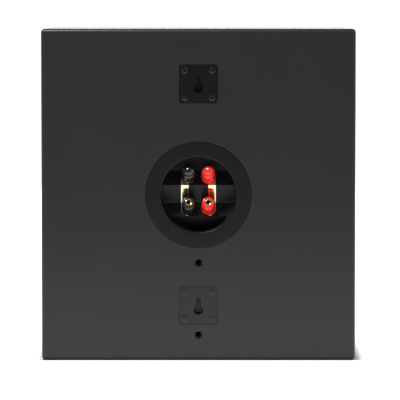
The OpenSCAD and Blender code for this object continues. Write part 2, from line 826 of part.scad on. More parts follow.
steel_r = magnet_r - 4;
vent_r = 6;

module woofer_top_plate() {
    color(steel) on_front(woofer_height) ring(steel_r, gap_outer_r, plate_bottom_z, plate_top_z);
}

module woofer_magnet() {
    color([0.13, 0.13, 0.14]) on_front(woofer_height)
        ring(magnet_r, gap_outer_r + 5, magnet_bottom_z, plate_bottom_z);
}

module woofer_yoke() {
    color(steel) on_front(woofer_height) difference() {
        union() {
            translate([0, 0, yoke_bottom_z]) cylinder(r = steel_r, h = magnet_bottom_z - yoke_bottom_z);
            translate([0, 0, yoke_bottom_z]) cylinder(r = pole_r, h = plate_top_z - yoke_bottom_z);
        }
        translate([0, 0, yoke_bottom_z - cut]) cylinder(r = vent_r, h = woofer_depth);
    }
}

// ---------- tweeter, drawn as the woofer is ----------

tweeter_body_r = 36;
flare_z = -7.5;            // bottom of the flare
throat_r = dome_r + 3.6;
tweeter_back_z = -10;      // back of the faceplate's body
tweeter_seat_r = throat_r + 3;
tweeter_screw_circle_r = tweeter_plate_r - 6;
tweeter_plate_back_z = tweeter_back_z - 4;
tweeter_magnet_back_z = tweeter_plate_back_z - 10;
tweeter_yoke_back_z = tweeter_magnet_back_z - 4;
suspension_t = 0.4;
tweeter_coil_gap = 0.35;
tweeter_former_t = 0.5;
dome_lift = 0.5; // from the faceplate's back to the dome's rim

module at_tweeter_screws() {
    for (turn = [45:90:315]) rotate([0, 0, turn]) translate([tweeter_screw_circle_r, 0, 0]) children();
}

module tweeter_faceplate() {
    steps = 12;
    function flare(s) = [throat_r + (flare_r - throat_r) * (1 - cos(90 * s)), flare_z * (1 - sin(90 * s))];
    color([0.09, 0.09, 0.09]) on_front(tweeter_height) difference() {
        rotate_extrude() polygon(concat(
            [[throat_r, tweeter_back_z + suspension_t], [throat_r, flare_z]],
            [for (i = [1:steps]) flare(i / steps)],
            [[tweeter_plate_r - 0.6, 0], [tweeter_plate_r, -0.6], [tweeter_plate_r, -tweeter_plate_t],
                [tweeter_body_r, -tweeter_plate_t], [tweeter_body_r, tweeter_back_z],
                [tweeter_seat_r, tweeter_back_z], [tweeter_seat_r, tweeter_back_z + suspension_t]]
        ));
        at_tweeter_screws() screw_hole();
    }
}

module tweeter_screws() {
    color([0.12, 0.12, 0.12]) on_front(tweeter_height) at_tweeter_screws() screw(15);
}

module tweeter_surround() {
    roll_r = (throat_r - 0.3 - dome_r - suspension_t) / 2;
    roll_mid_r = dome_r + roll_r + suspension_t / 2;
    mid_z = tweeter_back_z + suspension_t / 2;
    color([0.16, 0.13, 0.12]) on_front(tweeter_height) rotate_extrude() {
        translate([roll_mid_r + roll_r - 0.2, tweeter_back_z])
            square([tweeter_seat_r - 0.1 - roll_mid_r - roll_r + 0.2, suspension_t]);
        difference() {
            translate([roll_mid_r, mid_z]) circle(r = roll_r + suspension_t / 2);
            translate([roll_mid_r, mid_z]) circle(r = roll_r - suspension_t / 2);
            translate([roll_mid_r - 2 * roll_r, tweeter_back_z - 4 * roll_r])
                square([4 * roll_r, 4 * roll_r]);
        }
    }
}

module tweeter_dome() {
    sphere_r = (dome_r ^ 2 + dome_h ^ 2) / (2 * dome_h);
    color([0.14, 0.11, 0.1]) on_front(tweeter_height) intersection() {
        translate([0, 0, tweeter_back_z + dome_lift + dome_h - sphere_r]) difference() {
            sphere(r = sphere_r);
            sphere(r = sphere_r - suspension_t);
        }
        translate([0, 0, tweeter_back_z + dome_lift]) cylinder(r = dome_r, h = 3 * dome_h);
    }
}

module tweeter_voice_coil() {
    color([0.72, 0.42, 0.22]) on_front(tweeter_height)
        ring(dome_r, dome_r - tweeter_former_t, tweeter_plate_back_z - 0.5, tweeter_back_z + dome_lift);
}

module tweeter_top_plate() {
    color(steel) on_front(tweeter_height)
        ring(tweeter_body_r - 2, dome_r + tweeter_coil_gap, tweeter_plate_back_z, tweeter_back_z);
}

module tweeter_magnet() {
    color([0.13, 0.13, 0.14]) on_front(tweeter_height)
        ring(tweeter_body_r - 2, dome_r + 4, tweeter_magnet_back_z, tweeter_plate_back_z);
}

module tweeter_yoke() {
    color(steel) on_front(tweeter_height) difference() {
        union() {
            translate([0, 0, tweeter_yoke_back_z])
                cylinder(r = tweeter_body_r - 4, h = tweeter_magnet_back_z - tweeter_yoke_back_z);
            translate([0, 0, tweeter_yoke_back_z])
                cylinder(r = dome_r - tweeter_former_t - tweeter_coil_gap,
                    h = tweeter_back_z - tweeter_yoke_back_z);
        }
        translate([0, 0, tweeter_yoke_back_z - cut]) cylinder(r = vent_r / 2, h = -tweeter_yoke_back_z);
    }
}

// ---------- tag strips: two tabs on a fibre strip, one on the back of each driver ----------

tab_x = 7;
tab_w = 3.2;
tab_t = 0.8;
strip_w = 22;
strip_t = 1.5;
woofer_strip_z = plate_top_z + 3.5;
woofer_tab_y = -62;  // where a lead meets a tab, below the driver's axis
tweeter_tab_y = -34;

// The strip's face is at Z = 0 and its tabs reach down to just past their solder points.
module tag_strip(top_y, tab_y, side) {
    bare = 8; // how far the tabs reach below the strip, to their solder points
    translate([-strip_w / 2, tab_y + bare, side > 0 ? 0 : -strip_t])
        cube([strip_w, top_y - tab_y - bare, strip_t]);
    for (x = [-1, 1]) translate([x * tab_x - tab_w / 2, tab_y - 3, side > 0 ? strip_t : -strip_t - tab_t])
        cube([tab_w, top_y - tab_y, tab_t]);
}

module driver_terminals() {
    color([0.5, 0.33, 0.16]) {
        on_front(woofer_height) translate([0, 0, woofer_strip_z]) tag_strip(-42, woofer_tab_y, 1);
        on_front(tweeter_height) translate([0, 0, tweeter_yoke_back_z]) tag_strip(-14, tweeter_tab_y, -1);
    }
}

// ---------- crossover, on the bottom panel behind the brace ----------

board_t = 1.6;
board_y = (brace_y + brace_t + inner_rear_y) / 2; // half way from the brace to the rear panel
board_z = wall_t + standoff_h;
board_top = board_z + board_t;
standoff_inset = 6;
standoff_r = 4;
standoff_peg = 8;
standoff_peg_r = 1.5;

module on_board() {
    translate([0, board_y, board_top]) children();
}

module at_standoffs() {
    for (x = [-1, 1], y = [-1, 1])
        translate([x * (board_w / 2 - standoff_inset), board_y + y * (board_d / 2 - standoff_inset), wall_t])
            children();
}

module crossover_board() {
    color([0.05, 0.22, 0.12]) difference() {
        translate([-board_w / 2, board_y - board_d / 2, board_z]) cube([board_w, board_d, board_t]);
        at_standoffs() translate([0, 0, standoff_h - cut])
            cylinder(r = standoff_peg_r + thread_gap, h = board_t + 2 * cut);
    }
}

module crossover_standoffs() {
    color([0.85, 0.85, 0.82]) at_standoffs() {
        translate([0, 0, -standoff_peg])
            cylinder(r = standoff_peg_r, h = standoff_peg + standoff_h + board_t + 1);
        cylinder(r = standoff_r, h = standoff_h, $fn = 6);
        translate([0, 0, standoff_h + board_t])
            cylinder(r1 = standoff_peg_r + 1.1, r2 = standoff_peg_r + 0.1, h = 1.4);
    }
}

coil_core_r = 8;

// A large coil lies flat on the board, and a small one stands on its rim.
module crossover_inductors() {
    large_r = 21;
    small_r = 15;
    color([0.72, 0.4, 0.2]) on_board() {
        translate([-38, 10, 0]) ring(large_r, coil_core_r, 0, 16);
        translate([40, 24, small_r]) rotate([90, 0, 0]) ring(small_r, coil_core_r - 1, -7, 7);
    }
}

module crossover_capacitors() {
    lying = [[8, 14, 11], [4, -20, 8], [32, -20, 6.5]]; // X, Y and radius
    color([0.75, 0.62, 0.12]) on_board() for (c = lying)
        translate([c.x, c.y, c.z]) rotate([90, 0, 0]) cylinder(r = c.z, h = 2.4 * c.z + 6, center = true);
}

module crossover_resistors() {
    body = [24, 9, 9];
    color([0.9, 0.9, 0.86]) on_board() for (y = [-34, -21]) translate([-48, y, 0]) cube(body);
}

// ---------- internal wiring, from the terminal tabs to the board and on to the drivers ----------

lead_r = 1.5;
lead_sides = 8;

pad_inset = 6; // from the board's edges to its solder pads
pad_front_y = board_y - board_d / 2 + pad_inset;
pad_back_y = board_y + board_d / 2 - pad_inset;
rail_top = wall_t + brace_rail;
lug_x = post_pitch_x / 2 + lug_reach - lug_w / 2;
lug_foot = -cup_floor_t - lug_t;
post_axis = [0, cos(post_tilt), sin(post_tilt)];
function lug(row) = lug_foot * post_axis
    + [lug_x, rear_y + post_base_z, cabinet_h / 2 + row * post_pitch_y / 2];

// Routes in millimetres, chosen by hand from one solder point to the other.
upper_run = let (from = lug(1), to = [27, pad_back_y, board_top]) [
    from, from - 5 * post_axis, from + [5, -9, -18], from + [8, -12, -50], to + [2, 4, 46],
    to + [0, 2, 16], to + [0, 0, 6], to
];
lower_run = let (from = lug(-1), to = [14, pad_back_y, board_top]) [
    from, from - 5 * post_axis, from + [1, -9, -14], from + [-1, -13, -42], to + [3, 3, 36],
    to + [0, 1.5, 15], to + [0, 0, 6], to
];
woofer_run = let (
    from = [20, pad_front_y, board_top],
    to = [tab_x, front_y - woofer_strip_z - strip_t, woofer_height + woofer_tab_y]
) [
    from, from + [0, 0, 6], [24, brace_y + brace_t + 8, rail_top + 2], [28, brace_y + brace_t, rail_top + 6],
    [30, brace_y + 2, rail_top + 6], [26, brace_y - 16, rail_top + 3], to + [10, 16, 1], to + [0, 5, 0], to
];
tweeter_run = let (
    from = [52, pad_front_y, board_top],
    to = [tab_x, front_y - tweeter_yoke_back_z + strip_t + tab_t, tweeter_height + tweeter_tab_y]
) [
    from, from + [0, 0, 6], [60, brace_y + brace_t + 14, woofer_height - 40],
    [66, brace_y + brace_t + 14, woofer_height], [56, brace_y + brace_t + 12, woofer_height + 48],
    [34, brace_y + brace_t + 4, cabinet_h / 2 + 30], [20, brace_y - 4, cabinet_h / 2 + 42],
    to + [4, 30, -5], to + [1, 14, -1], to + [0, 5, 0], to
];

function mirrored(route) = [for (p = route) [-p.x, p.y, p.z]];
function unit(v) = v / norm(v);

// A smooth curve through the route's points, four steps to a span.
function spline(a, b, c, d, s) = 0.5 * (2 * b + (c - a) * s + (2 * a - 5 * b + 4 * c - d) * s ^ 2
    + (3 * b - a - 3 * c + d) * s ^ 3);
function smooth(route) = let (last = len(route) - 1) concat(
    [for (i = [0:last - 1], k = [0:3]) spline(route[max(i - 1, 0)], route[i], route[i + 1],
        route[min(i + 2, last)], k / 4)],
    [route[last]]
);

// The first and last stretches are straight, so that a lead meets its tab or pad squarely.
module lead(route) {
    line = concat([route[0]], smooth([for (i = [1:len(route) - 2]) route[i]]), [route[len(route) - 1]]);
    last = len(line) - 1;
    rings = [for (i = [0:last]) let (
        ahead = unit(line[min(i + 1, last)] - line[max(i - 1, 0)]),
        across = unit(cross(ahead, [1, 0.2, 0.1])),
        up = cross(ahead, across)
    ) [for (k = [0:lead_sides - 1]) line[i]
        + lead_r * (cos(360 * k / lead_sides) * across + sin(360 * k / lead_sides) * up)]];
    sides = [for (i = [0:last - 1], k = [0:lead_sides - 1]) let (n = (k + 1) % lead_sides)
        [i * lead_sides + k, i * lead_sides + n, (i + 1) * lead_sides + n, (i + 1) * lead_sides + k]];
    ends = [[for (k = [lead_sides - 1:-1:0]) k], [for (k = [0:lead_sides - 1]) last * lead_sides + k]];
    polyhedron(points = [for (r = rings, p = r) p], faces = concat(ends, sides), convexity = 10);
}

module internal_leads() {
    color([0.6, 0.1, 0.08]) for (route = [upper_run, lower_run, woofer_run, tweeter_run]) {
        lead(route);
        lead(mirrored(route));
    }
}

front_baffle();
rear_panel();
top_panel();
bottom_panel();
side_panel_left();
side_panel_right();
window_brace();
damping_foam();
keyhole_plate_upper();
keyhole_plate_lower();
keyhole_plate_screws();
bracket_tee_nuts();
grille_sockets();
terminal_cup();
terminal_cup_gasket();
terminal_cup_screws();
post_upper_black();
post_upper_red();
post_lower_black();
post_lower_red();
post_nuts();
solder_lugs();
bush_upper_black();
bush_upper_red();
bush_lower_black();
bush_lower_red();
cap_upper_black();
cap_upper_red();
cap_lower_black();
cap_lower_red();
end_plug_black();
end_plug_red();
jumper_link_black();
jumper_link_red();
woofer_frame();
woofer_gasket();
woofer_screws();
woofer_surround();
woofer_cone();
woofer_dust_cap();
woofer_voice_coil();
woofer_spider();
woofer_top_plate();
woofer_magnet();
woofer_yoke();
driver_terminals();
tweeter_faceplate();
tweeter_screws();
tweeter_surround();
tweeter_dome();
tweeter_voice_coil();
tweeter_top_plate();
tweeter_magnet();
tweeter_yoke();
crossover_board();
crossover_standoffs();
crossover_inductors();
crossover_capacitors();
crossover_resistors();
internal_leads();
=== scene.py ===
import math

import bmesh
import bpy
import numpy as np
from mathutils import Matrix, Vector


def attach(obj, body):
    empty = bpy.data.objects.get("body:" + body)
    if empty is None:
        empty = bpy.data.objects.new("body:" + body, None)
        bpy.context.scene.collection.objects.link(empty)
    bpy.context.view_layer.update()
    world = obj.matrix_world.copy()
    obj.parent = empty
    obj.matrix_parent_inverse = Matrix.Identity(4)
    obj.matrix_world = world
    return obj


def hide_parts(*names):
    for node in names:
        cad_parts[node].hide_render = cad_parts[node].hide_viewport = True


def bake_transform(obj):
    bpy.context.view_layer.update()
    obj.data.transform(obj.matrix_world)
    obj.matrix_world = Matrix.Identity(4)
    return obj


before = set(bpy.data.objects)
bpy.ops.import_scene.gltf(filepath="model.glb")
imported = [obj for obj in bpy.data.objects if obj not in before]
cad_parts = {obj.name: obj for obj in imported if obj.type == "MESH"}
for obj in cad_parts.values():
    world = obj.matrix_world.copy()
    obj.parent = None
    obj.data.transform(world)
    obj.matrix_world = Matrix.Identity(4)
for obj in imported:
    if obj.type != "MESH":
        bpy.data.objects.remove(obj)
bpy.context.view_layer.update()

# ---------------------------------------------------------------------------
# Cabinet panels: six fibreboard panels, mitred and glued, then wrapped in a smooth charcoal
# foil with a very fine pebble grain. The wrap is drawn tight round the small outer radius.
# ---------------------------------------------------------------------------

width, height, depth = 0.303, 0.320, 0.270
back_y, front_y = depth / 2, -depth / 2


def paint(name, colour, roughness, metallic=0.0, **fixed):
    """A new material: its node tree, its shader, and the piece's own coordinates in metres."""
    material = bpy.data.materials.new(name)
    material.use_nodes = True
    tree = material.node_tree
    shader = tree.nodes["Principled BSDF"]
    shader.inputs["Base Color"].default_value = (*colour, 1)
    shader.inputs["Roughness"].default_value = roughness
    shader.inputs["Metallic"].default_value = metallic
    for socket, value in fixed.items():
        shader.inputs[socket.replace("_", " ")].default_value = value
    place = tree.nodes.new("ShaderNodeTexCoord").outputs["Object"]
    return material, tree, shader, place


def stretched(tree, place, scale):
    mapping = tree.nodes.new("ShaderNodeMapping")
    mapping.inputs["Scale"].default_value = scale
    tree.links.new(place, mapping.inputs["Vector"])
    return mapping.outputs["Vector"]


def speckle(tree, place, size, detail=3.0, roughness=0.55):
    """Soft cloudy noise whose blotches are about size metres across."""
    node = tree.nodes.new("ShaderNodeTexNoise")
    node.inputs["Scale"].default_value = 1 / size
    node.inputs["Detail"].default_value = detail
    node.inputs["Roughness"].default_value = roughness
    tree.links.new(place, node.inputs["Vector"])
    return node.outputs["Fac"]


def pebbles(tree, place, size):
    """Rounded cells about size metres across, high in the middle."""
    node = tree.nodes.new("ShaderNodeTexVoronoi")
    node.feature = "SMOOTH_F1"
    node.inputs["Scale"].default_value = 1 / size
    node.inputs["Smoothness"].default_value = 0.6
    tree.links.new(place, node.inputs["Vector"])
    return node.outputs["Distance"]


noise_low, noise_high = 0.3, 0.7


def spread(tree, value, low, high, start=noise_low, end=noise_high):
    """Turns the span of value from start to end into one from low to high."""
    node = tree.nodes.new("ShaderNodeMapRange")
    for socket, number in zip(("From Min", "From Max", "To Min", "To Max"), (start, end, low, high)):
        node.inputs[socket].default_value = number
    tree.links.new(value, node.inputs["Value"])
    return node.outputs["Result"]


def between(tree, value, dark, light):
    """A colour that goes from dark to light as value goes from noise_low to noise_high."""
    node = tree.nodes.new("ShaderNodeValToRGB")
    node.color_ramp.elements[0].position = noise_low
    node.color_ramp.elements[1].position = noise_high
    node.color_ramp.elements[0].color = (*dark, 1)
    node.color_ramp.elements[1].color = (*light, 1)
    tree.links.new(value, node.inputs["Fac"])
    return node.outputs["Color"]


def shade(colour, factor):
    return tuple(min(1.0, c * factor) for c in colour)


def relief(tree, shader, *layers):
    """Stacks bump layers, each a height and how deep it goes in metres."""
    below = None
    for value, deep in layers:
        node = tree.nodes.new("ShaderNodeBump")
        node.inputs["Strength"].default_value = 1.0
        node.inputs["Distance"].default_value = deep
        tree.links.new(value, node.inputs["Height"])
        if below is not None:
            tree.links.new(below, node.inputs["Normal"])
        below = node.outputs["Normal"]
    tree.links.new(below, shader.inputs["Normal"])


def grained(name, colour, roughness, tone=0.12, blotch=0.03, grain=0.0006, deep=0.00003, swing=0.06,
            cells=False, metallic=0.0, **fixed):
    """A finish with a fine grain in its relief, and slow changes in its tone and its gloss."""
    material, tree, shader, place = paint(name, colour, roughness, metallic, **fixed)
    slow = speckle(tree, place, blotch, 4.0)
    fine = pebbles(tree, place, grain) if cells else speckle(tree, place, grain, 2.0)
    tree.links.new(between(tree, slow, shade(colour, 1 - tone), shade(colour, 1 + tone)),
                   shader.inputs["Base Color"])
    gloss = spread(tree, speckle(tree, place, blotch / 6, 5.0), roughness - swing, roughness + swing)
    tree.links.new(gloss, shader.inputs["Roughness"])
    relief(tree, shader, (slow, deep * 0.6), (fine, deep))
    return material


def dress(material, *names):
    """Gives CAD nodes their finish."""
    for name in names:
        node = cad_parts[name]
        node.data.materials.clear()
        node.data.materials.append(material)


cabinet_foil = grained("charcoal_foil", (0.0175, 0.0175, 0.018), 0.5, tone=0.05, blotch=0.05, grain=0.0005,
                       deep=0.00002, swing=0.05, cells=True, Specular_IOR_Level=0.2, Coat_Weight=0.38,
                       Coat_Roughness=0.2)
dress(cabinet_foil, "front_baffle", "rear_panel", "top_panel", "bottom_panel", "side_panel_left",
      "side_panel_right")

# ---------------------------------------------------------------------------
# Brace and lining: a window brace cut from bare fibreboard is glued in behind the woofer, and
# sheets of open-cell foam are glued to the walls. None of it shows from outside.
# ---------------------------------------------------------------------------

bare_board = grained("bare_fibreboard", (0.40, 0.28, 0.17), 0.85, tone=0.12, blotch=0.01, grain=0.0008,
                     deep=0.00008)
lining_foam = grained("lining_foam", (0.035, 0.035, 0.037), 0.95, tone=0.2, blotch=0.02, grain=0.0018,
                      deep=0.0006, cells=True)
dress(bare_board, "window_brace")
dress(lining_foam, "damping_foam")

# ---------------------------------------------------------------------------
# Keyhole plates: two square steel plates, punched, deburred and let in flush near the top and
# the bottom of the back. They share one black powder coat, coloured darker on the upper one as
# painted shade and lighter on the lower one as painted reflection.
# ---------------------------------------------------------------------------

plate_side, plate_thick, plate_corner = 0.037, 0.0016, 0.003
plate_inset = 0.053
keyhole_r, keyslot_r, keyslot_run, keyhole_drop = 0.0045, 0.0023, 0.010, 0.0043
plate_edge, hole_room = 0.00025, 0.0001
screw_inset = 0.0053
screw_offset = plate_side / 2 - screw_inset
screw_head_r, screw_r = 0.0032, 0.0016
same_spot, same_level = 1e-7, 1e-9


def on_back(up=height / 2):
    """Places a piece drawn as seen from behind: X right, Y up, Z out of the back."""
    return Matrix(((-1, 0, 0, 0), (0, 0, 1, back_y), (0, 1, 0, up), (0, 0, 0, 1)))


def piece(name, points, faces, material, crease=35):
    """A mesh object whose edges show sharp where its faces meet at more than crease degrees."""
    mesh = bpy.data.meshes.new(name)
    mesh.from_pydata([tuple(p) for p in points], [], faces)
    tidy = bmesh.new()
    tidy.from_mesh(mesh)
    bmesh.ops.remove_doubles(tidy, verts=tidy.verts, dist=same_spot)
    bmesh.ops.recalc_face_normals(tidy, faces=tidy.faces)
    tidy.to_mesh(mesh)
    tidy.free()
    mesh.materials.append(material)
    mesh.shade_smooth()
    mesh.set_sharp_from_angle(angle=math.radians(crease))
    made = bpy.data.objects.new(name, mesh)
    flat = made.modifiers.new("even_shading", "WEIGHTED_NORMAL")
    flat.keep_sharp = True
    bpy.context.scene.collection.objects.link(made)
    return made


def placed(points, matrix):
    return [matrix @ Vector(p) for p in points]


def copies(points, faces, matrices):
    """The same shape at each place, as one list of points and one of faces."""
    all_points, all_faces = [], []
    for matrix in matrices:
        first = len(all_points)
        all_points += placed(points, matrix)
        all_faces += [tuple(first + i for i in face) for face in faces]
    return all_points, all_faces


def rounded_square_line(side, corner, steps=8):
    def line(grow):
        half, r = side / 2 - corner, corner - grow
        return [(half * sx + r * math.cos(a), half * sy + r * math.sin(a))
                for sx, sy, start in ((1, 1, 0), (-1, 1, 90), (-1, -1, 180), (1, -1, 270))
                for a in (math.radians(start + 90 * k / steps) for k in range(steps + 1))]
    return line


def circle_line(x, y, r, steps=40):
    return lambda grow: [(x + (r + grow) * math.cos(2 * math.pi * k / steps),
                          y + (r + grow) * math.sin(2 * math.pi * k / steps)) for k in range(steps)]


def keyhole_line(grow, steps=20):
    """A round hole with a narrower slot that runs up from it to a round end."""
    hole, slot = keyhole_r + grow, keyslot_r + grow
    meet = math.asin(slot / hole)
    low, high = -keyhole_drop, keyslot_run - keyhole_drop
    line = []
    for k in range(2 * steps + 1):
        a = math.pi / 2 + meet + (2 * math.pi - 2 * meet) * k / (2 * steps)
        line.append((hole * math.cos(a), low + hole * math.sin(a)))
    for k in range(steps + 1):
        a = math.pi * k / steps
        line.append((slot * math.cos(a), high + slot * math.sin(a)))
    return line


def punched(outlines, thick, edge):
    """A flat plate with its top at Z = 0: outlines give its rim and its holes, all with eased edges."""
    levels = [(-thick, edge * 0.5), (-thick + edge * 0.5, 0), (-edge, 0)]
    levels += [(-edge + edge * math.sin(a), edge - edge * math.cos(a))
               for a in (math.radians(d) for d in (30, 60, 90))]
    mesh = bmesh.new()
    for line in outlines:
        rows = [[mesh.verts.new((x, y, z)) for x, y in line(inset)] for z, inset in levels]
        count = len(rows[0])
        for below, above in zip(rows, rows[1:]):
            for k in range(count):
                mesh.faces.new((below[k], below[(k + 1) % count], above[(k + 1) % count], above[k]))
    for z in (-thick, 0):
        rim = [e for e in mesh.edges if all(abs(v.co.z - z) < same_level for v in e.verts)]
        bmesh.ops.triangle_fill(mesh, edges=rim, use_beauty=True, use_dissolve=False)
    mesh.verts.index_update()
    points = [v.co.copy() for v in mesh.verts]
    faces = [tuple(v.index for v in f.verts) for f in mesh.faces]
    mesh.free()
    return points, faces


# Painted shade and painted reflection: one black powder coat, a darker copy for the upper plate and a
# lighter copy for the lower.
plate_coat_painted_shade = grained("powder_coat_painted_shade", (0.005, 0.005, 0.0053), 0.5, tone=0.1, blotch=0.012,
                           grain=0.0005, deep=0.00003, Specular_IOR_Level=0.13)
plate_coat_painted_reflection = grained("powder_coat_painted_reflection", (0.021, 0.0215, 0.0225), 0.42, tone=0.08,
                              blotch=0.012, grain=0.0005, deep=0.00003, Specular_IOR_Level=0.3)
screw_places = [(x * screw_offset, y * screw_offset) for x in (-1, 1) for y in (-1, 1)]
plate_lines = [rounded_square_line(plate_side, plate_corner), keyhole_line]
plate_lines += [circle_line(x, y, screw_head_r + hole_room) for x, y in screw_places]
for which, up, coat, slot_name in (("upper", height - plate_inset, plate_coat_painted_shade, "black_plate"),
                                   ("lower", plate_inset, plate_coat_painted_reflection, "grey_plate")):
    shape, faces = punched(plate_lines, plate_thick, plate_edge)
    keyhole_plate = piece(f"keyhole_plate_{which}_steel", placed(shape, on_back(up)), faces, coat)
    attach(keyhole_plate, "cabinet")
    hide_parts(f"keyhole_plate_{which}")

# ---------------------------------------------------------------------------
# Countersunk screws: small black-oxide wood screws with a cross recess and a slightly crowned
# head. Four hold each keyhole plate, four the terminal cup and four the tweeter's faceplate.
# ---------------------------------------------------------------------------


def turned(profile, steps=64, closed=False):
    """Spins a profile of (radius, height) points round Z. A point on the axis becomes a pole."""
    points, faces, rows = [], [], []
    for r, z in profile:
        if r < same_level:
            rows.append([len(points)])
            points.append((0, 0, z))
            continue
        rows.append(list(range(len(points), len(points) + steps)))
        points += [(r * math.cos(2 * math.pi * k / steps), r * math.sin(2 * math.pi * k / steps), z)
                   for k in range(steps)]
    pairs = list(zip(rows, rows[1:])) + ([(rows[-1], rows[0])] if closed else [])
    for low, high in pairs:
        for k in range(steps):
            n = (k + 1) % steps
            if len(low) == 1 and len(high) == 1:
                continue
            if len(low) == 1:
                faces.append((low[0], high[n], high[k]))
            elif len(high) == 1:
                faces.append((low[k], low[n], high[0]))
            else:
                faces.append((low[k], low[n], high[n], high[k]))
    return points, faces


def eased(corners, closed=False, steps=5):
    """A line through (x, y, radius) corners with each corner rounded to its radius."""
    line, count = [], len(corners)
    for i, (x, y, r) in enumerate(corners):
        if r == 0 or (not closed and i in (0, count - 1)):
            line.append((x, y))
            continue
        here = Vector((x, y))
        back = Vector(corners[i - 1][:2]) - here
        ahead = Vector(corners[(i + 1) % count][:2]) - here
        reach = r / math.tan(back.angle(ahead) / 2)
        reach = min(reach, back.length * 0.49, ahead.length * 0.49)
        start, end = here + back.normalized() * reach, here + ahead.normalized() * reach
        for k in range(steps + 1):
            s = k / steps
            line.append(tuple(start * (1 - s) ** 2 + here * 2 * s * (1 - s) + end * s ** 2))
    return line


def cut_away(body, tool):
    """Cuts the tool's shape out of the body's mesh, and throws the tool away."""
    cutter = body.modifiers.new("cut", "BOOLEAN")
    cutter.object = tool
    cutter.solver = "EXACT"
    bpy.context.view_layer.update()
    fresh = bpy.data.meshes.new_from_object(body.evaluated_get(bpy.context.evaluated_depsgraph_get()))
    body.modifiers.clear()
    body.data = fresh
    bpy.data.objects.remove(tool)
    return body


def shape_of(made):
    """Takes an object's points and faces, and throws the object away."""
    points = [v.co.copy() for v in made.data.vertices]
    faces = [tuple(f.vertices) for f in made.data.polygons]
    bpy.data.objects.remove(made)
    return points, faces


black_oxide = grained("black_oxide_steel", (0.055, 0.055, 0.057), 0.3, tone=0.3, blotch=0.002,
                      grain=0.0003, deep=0.00001, swing=0.1, metallic=0.85)
head_h, shank_end, point_long = 0.0015, -0.016, 0.003
crown_drop, rim_drop = 0.00002, 0.00018
screw_profile = eased([(0, 0, 0), (screw_head_r * 0.8, -crown_drop, 0.001),
                       (screw_head_r, -rim_drop, 0.0001), (screw_r, -head_h, 0.0004),
                       (screw_r, shank_end + point_long, 0.001), (0, shank_end, 0)])
blank = piece("screw_blank", *turned(screw_profile, 40), black_oxide)
wing, tip, sink, clear = screw_head_r * 0.62, screw_head_r * 0.2, 0.0012, 0.0003
bit_faces = ((3, 2, 1, 0), (4, 5, 6, 7), (0, 1, 5, 4), (1, 2, 6, 5), (2, 3, 7, 6), (3, 0, 4, 7))
for crosswise in (False, True):
    bit_points = []
    for z, grow in ((-sink, 0.55), (clear, 1.08)):
        for sx, sy in ((-1, -1), (1, -1), (1, 1), (-1, 1)):
            x, y = sx * wing * grow, sy * tip * (0.7 + 0.3 * grow)
            bit_points.append((y, -x, z) if crosswise else (x, y, z))
    blank = cut_away(blank, piece("cross_bit", bit_points, bit_faces, black_oxide))
screw_shape = shape_of(blank)
first_angle, next_angle = 22, 37


def drive_screws(name, node, matrices):
    """Screws at each place, every one left at its own angle."""
    turned_by = [Matrix.Rotation(math.radians(next_angle * k + first_angle), 4, "Z")
                 for k in range(len(matrices))]
    made = piece(name, *copies(*screw_shape, [m @ t for m, t in zip(matrices, turned_by)]), black_oxide)
    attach(made, "cabinet")
    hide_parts(node)


drive_screws("keyhole_plate_wood_screws", "keyhole_plate_screws",
             [on_back(up) @ Matrix.Translation((x, y, 0))
              for up in (height - plate_inset, plate_inset) for x, y in screw_places])

# ---------------------------------------------------------------------------
# Bracket threads: two zinc-plated steel tee nuts, pulled into the back from inside, so that
# only their bores show at the bottom of two drilled holes.
# ---------------------------------------------------------------------------

bracket_low, bracket_pitch = 0.0247, 0.06985
tee_heights = (bracket_low, bracket_low + bracket_pitch)
tee_bore_r, tee_barrel_r, tee_flange_r = 0.0026, 0.00395, 0.0095
tee_mouth, tee_flange_top, tee_back = -0.004, -0.0164, -0.018
tee_chamfer, tee_lead_in = 0.0003, 0.0004
thread_pitch, thread_deep = 0.0008, 0.00035
# The zinc is coloured near black as painted shade for the dark drilled holes; the post nuts and the drivers'
# motor plates share this darkened zinc.
zinc = grained("zinc_plate_painted_shade", (0.07, 0.071, 0.075), 0.38, tone=0.25, blotch=0.003, grain=0.0004,
               deep=0.00001, swing=0.1, metallic=1.0)
tee_profile = [(tee_flange_r, tee_back), (tee_flange_r, tee_flange_top), (tee_barrel_r, tee_flange_top),
               (tee_barrel_r, tee_mouth - tee_chamfer), (tee_barrel_r - tee_chamfer, tee_mouth),
               (tee_bore_r + tee_lead_in, tee_mouth)]
turns = int((tee_mouth - tee_back) / thread_pitch) - 1
for k in range(turns):
    z = tee_mouth - tee_lead_in - k * thread_pitch
    tee_profile += [(tee_bore_r, z), (tee_bore_r + thread_deep, z - thread_pitch / 2)]
tee_profile.append((tee_bore_r, tee_back))
tee_shape, tee_faces = turned(tee_profile, 40, closed=True)
tee_nuts = piece("bracket_tee_nuts_zinc",
                 *copies(tee_shape, tee_faces, [on_back(up) for up in tee_heights]), zinc)
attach(tee_nuts, "cabinet")
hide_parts("bracket_tee_nuts")

# ---------------------------------------------------------------------------
# Terminal cup: one black ABS moulding with a flush round flange and a deep recess. Its floor is
# stepped, so that both pairs of posts tilt up. The mould is spark-eroded to a fine matt grain.
# ---------------------------------------------------------------------------

flange_r, flange_thick = 0.051, 0.003
recess_r, recess_low_r, cup_out_r = 0.0364, 0.0354, 0.0386
post_tilt = math.radians(30)
post_pitch_x, post_pitch_y = 0.019, 0.0305
face_half, ridge_z = 0.0065, -0.0135
face_end, face_step = post_pitch_y / 2 + face_half, post_pitch_y / 2 - face_half
valley_z = ridge_z - 2 * face_half * math.tan(post_tilt)
post_base_z = (ridge_z + valley_z) / 2
riser_slope = (ridge_z - valley_z) / (2 * face_step)


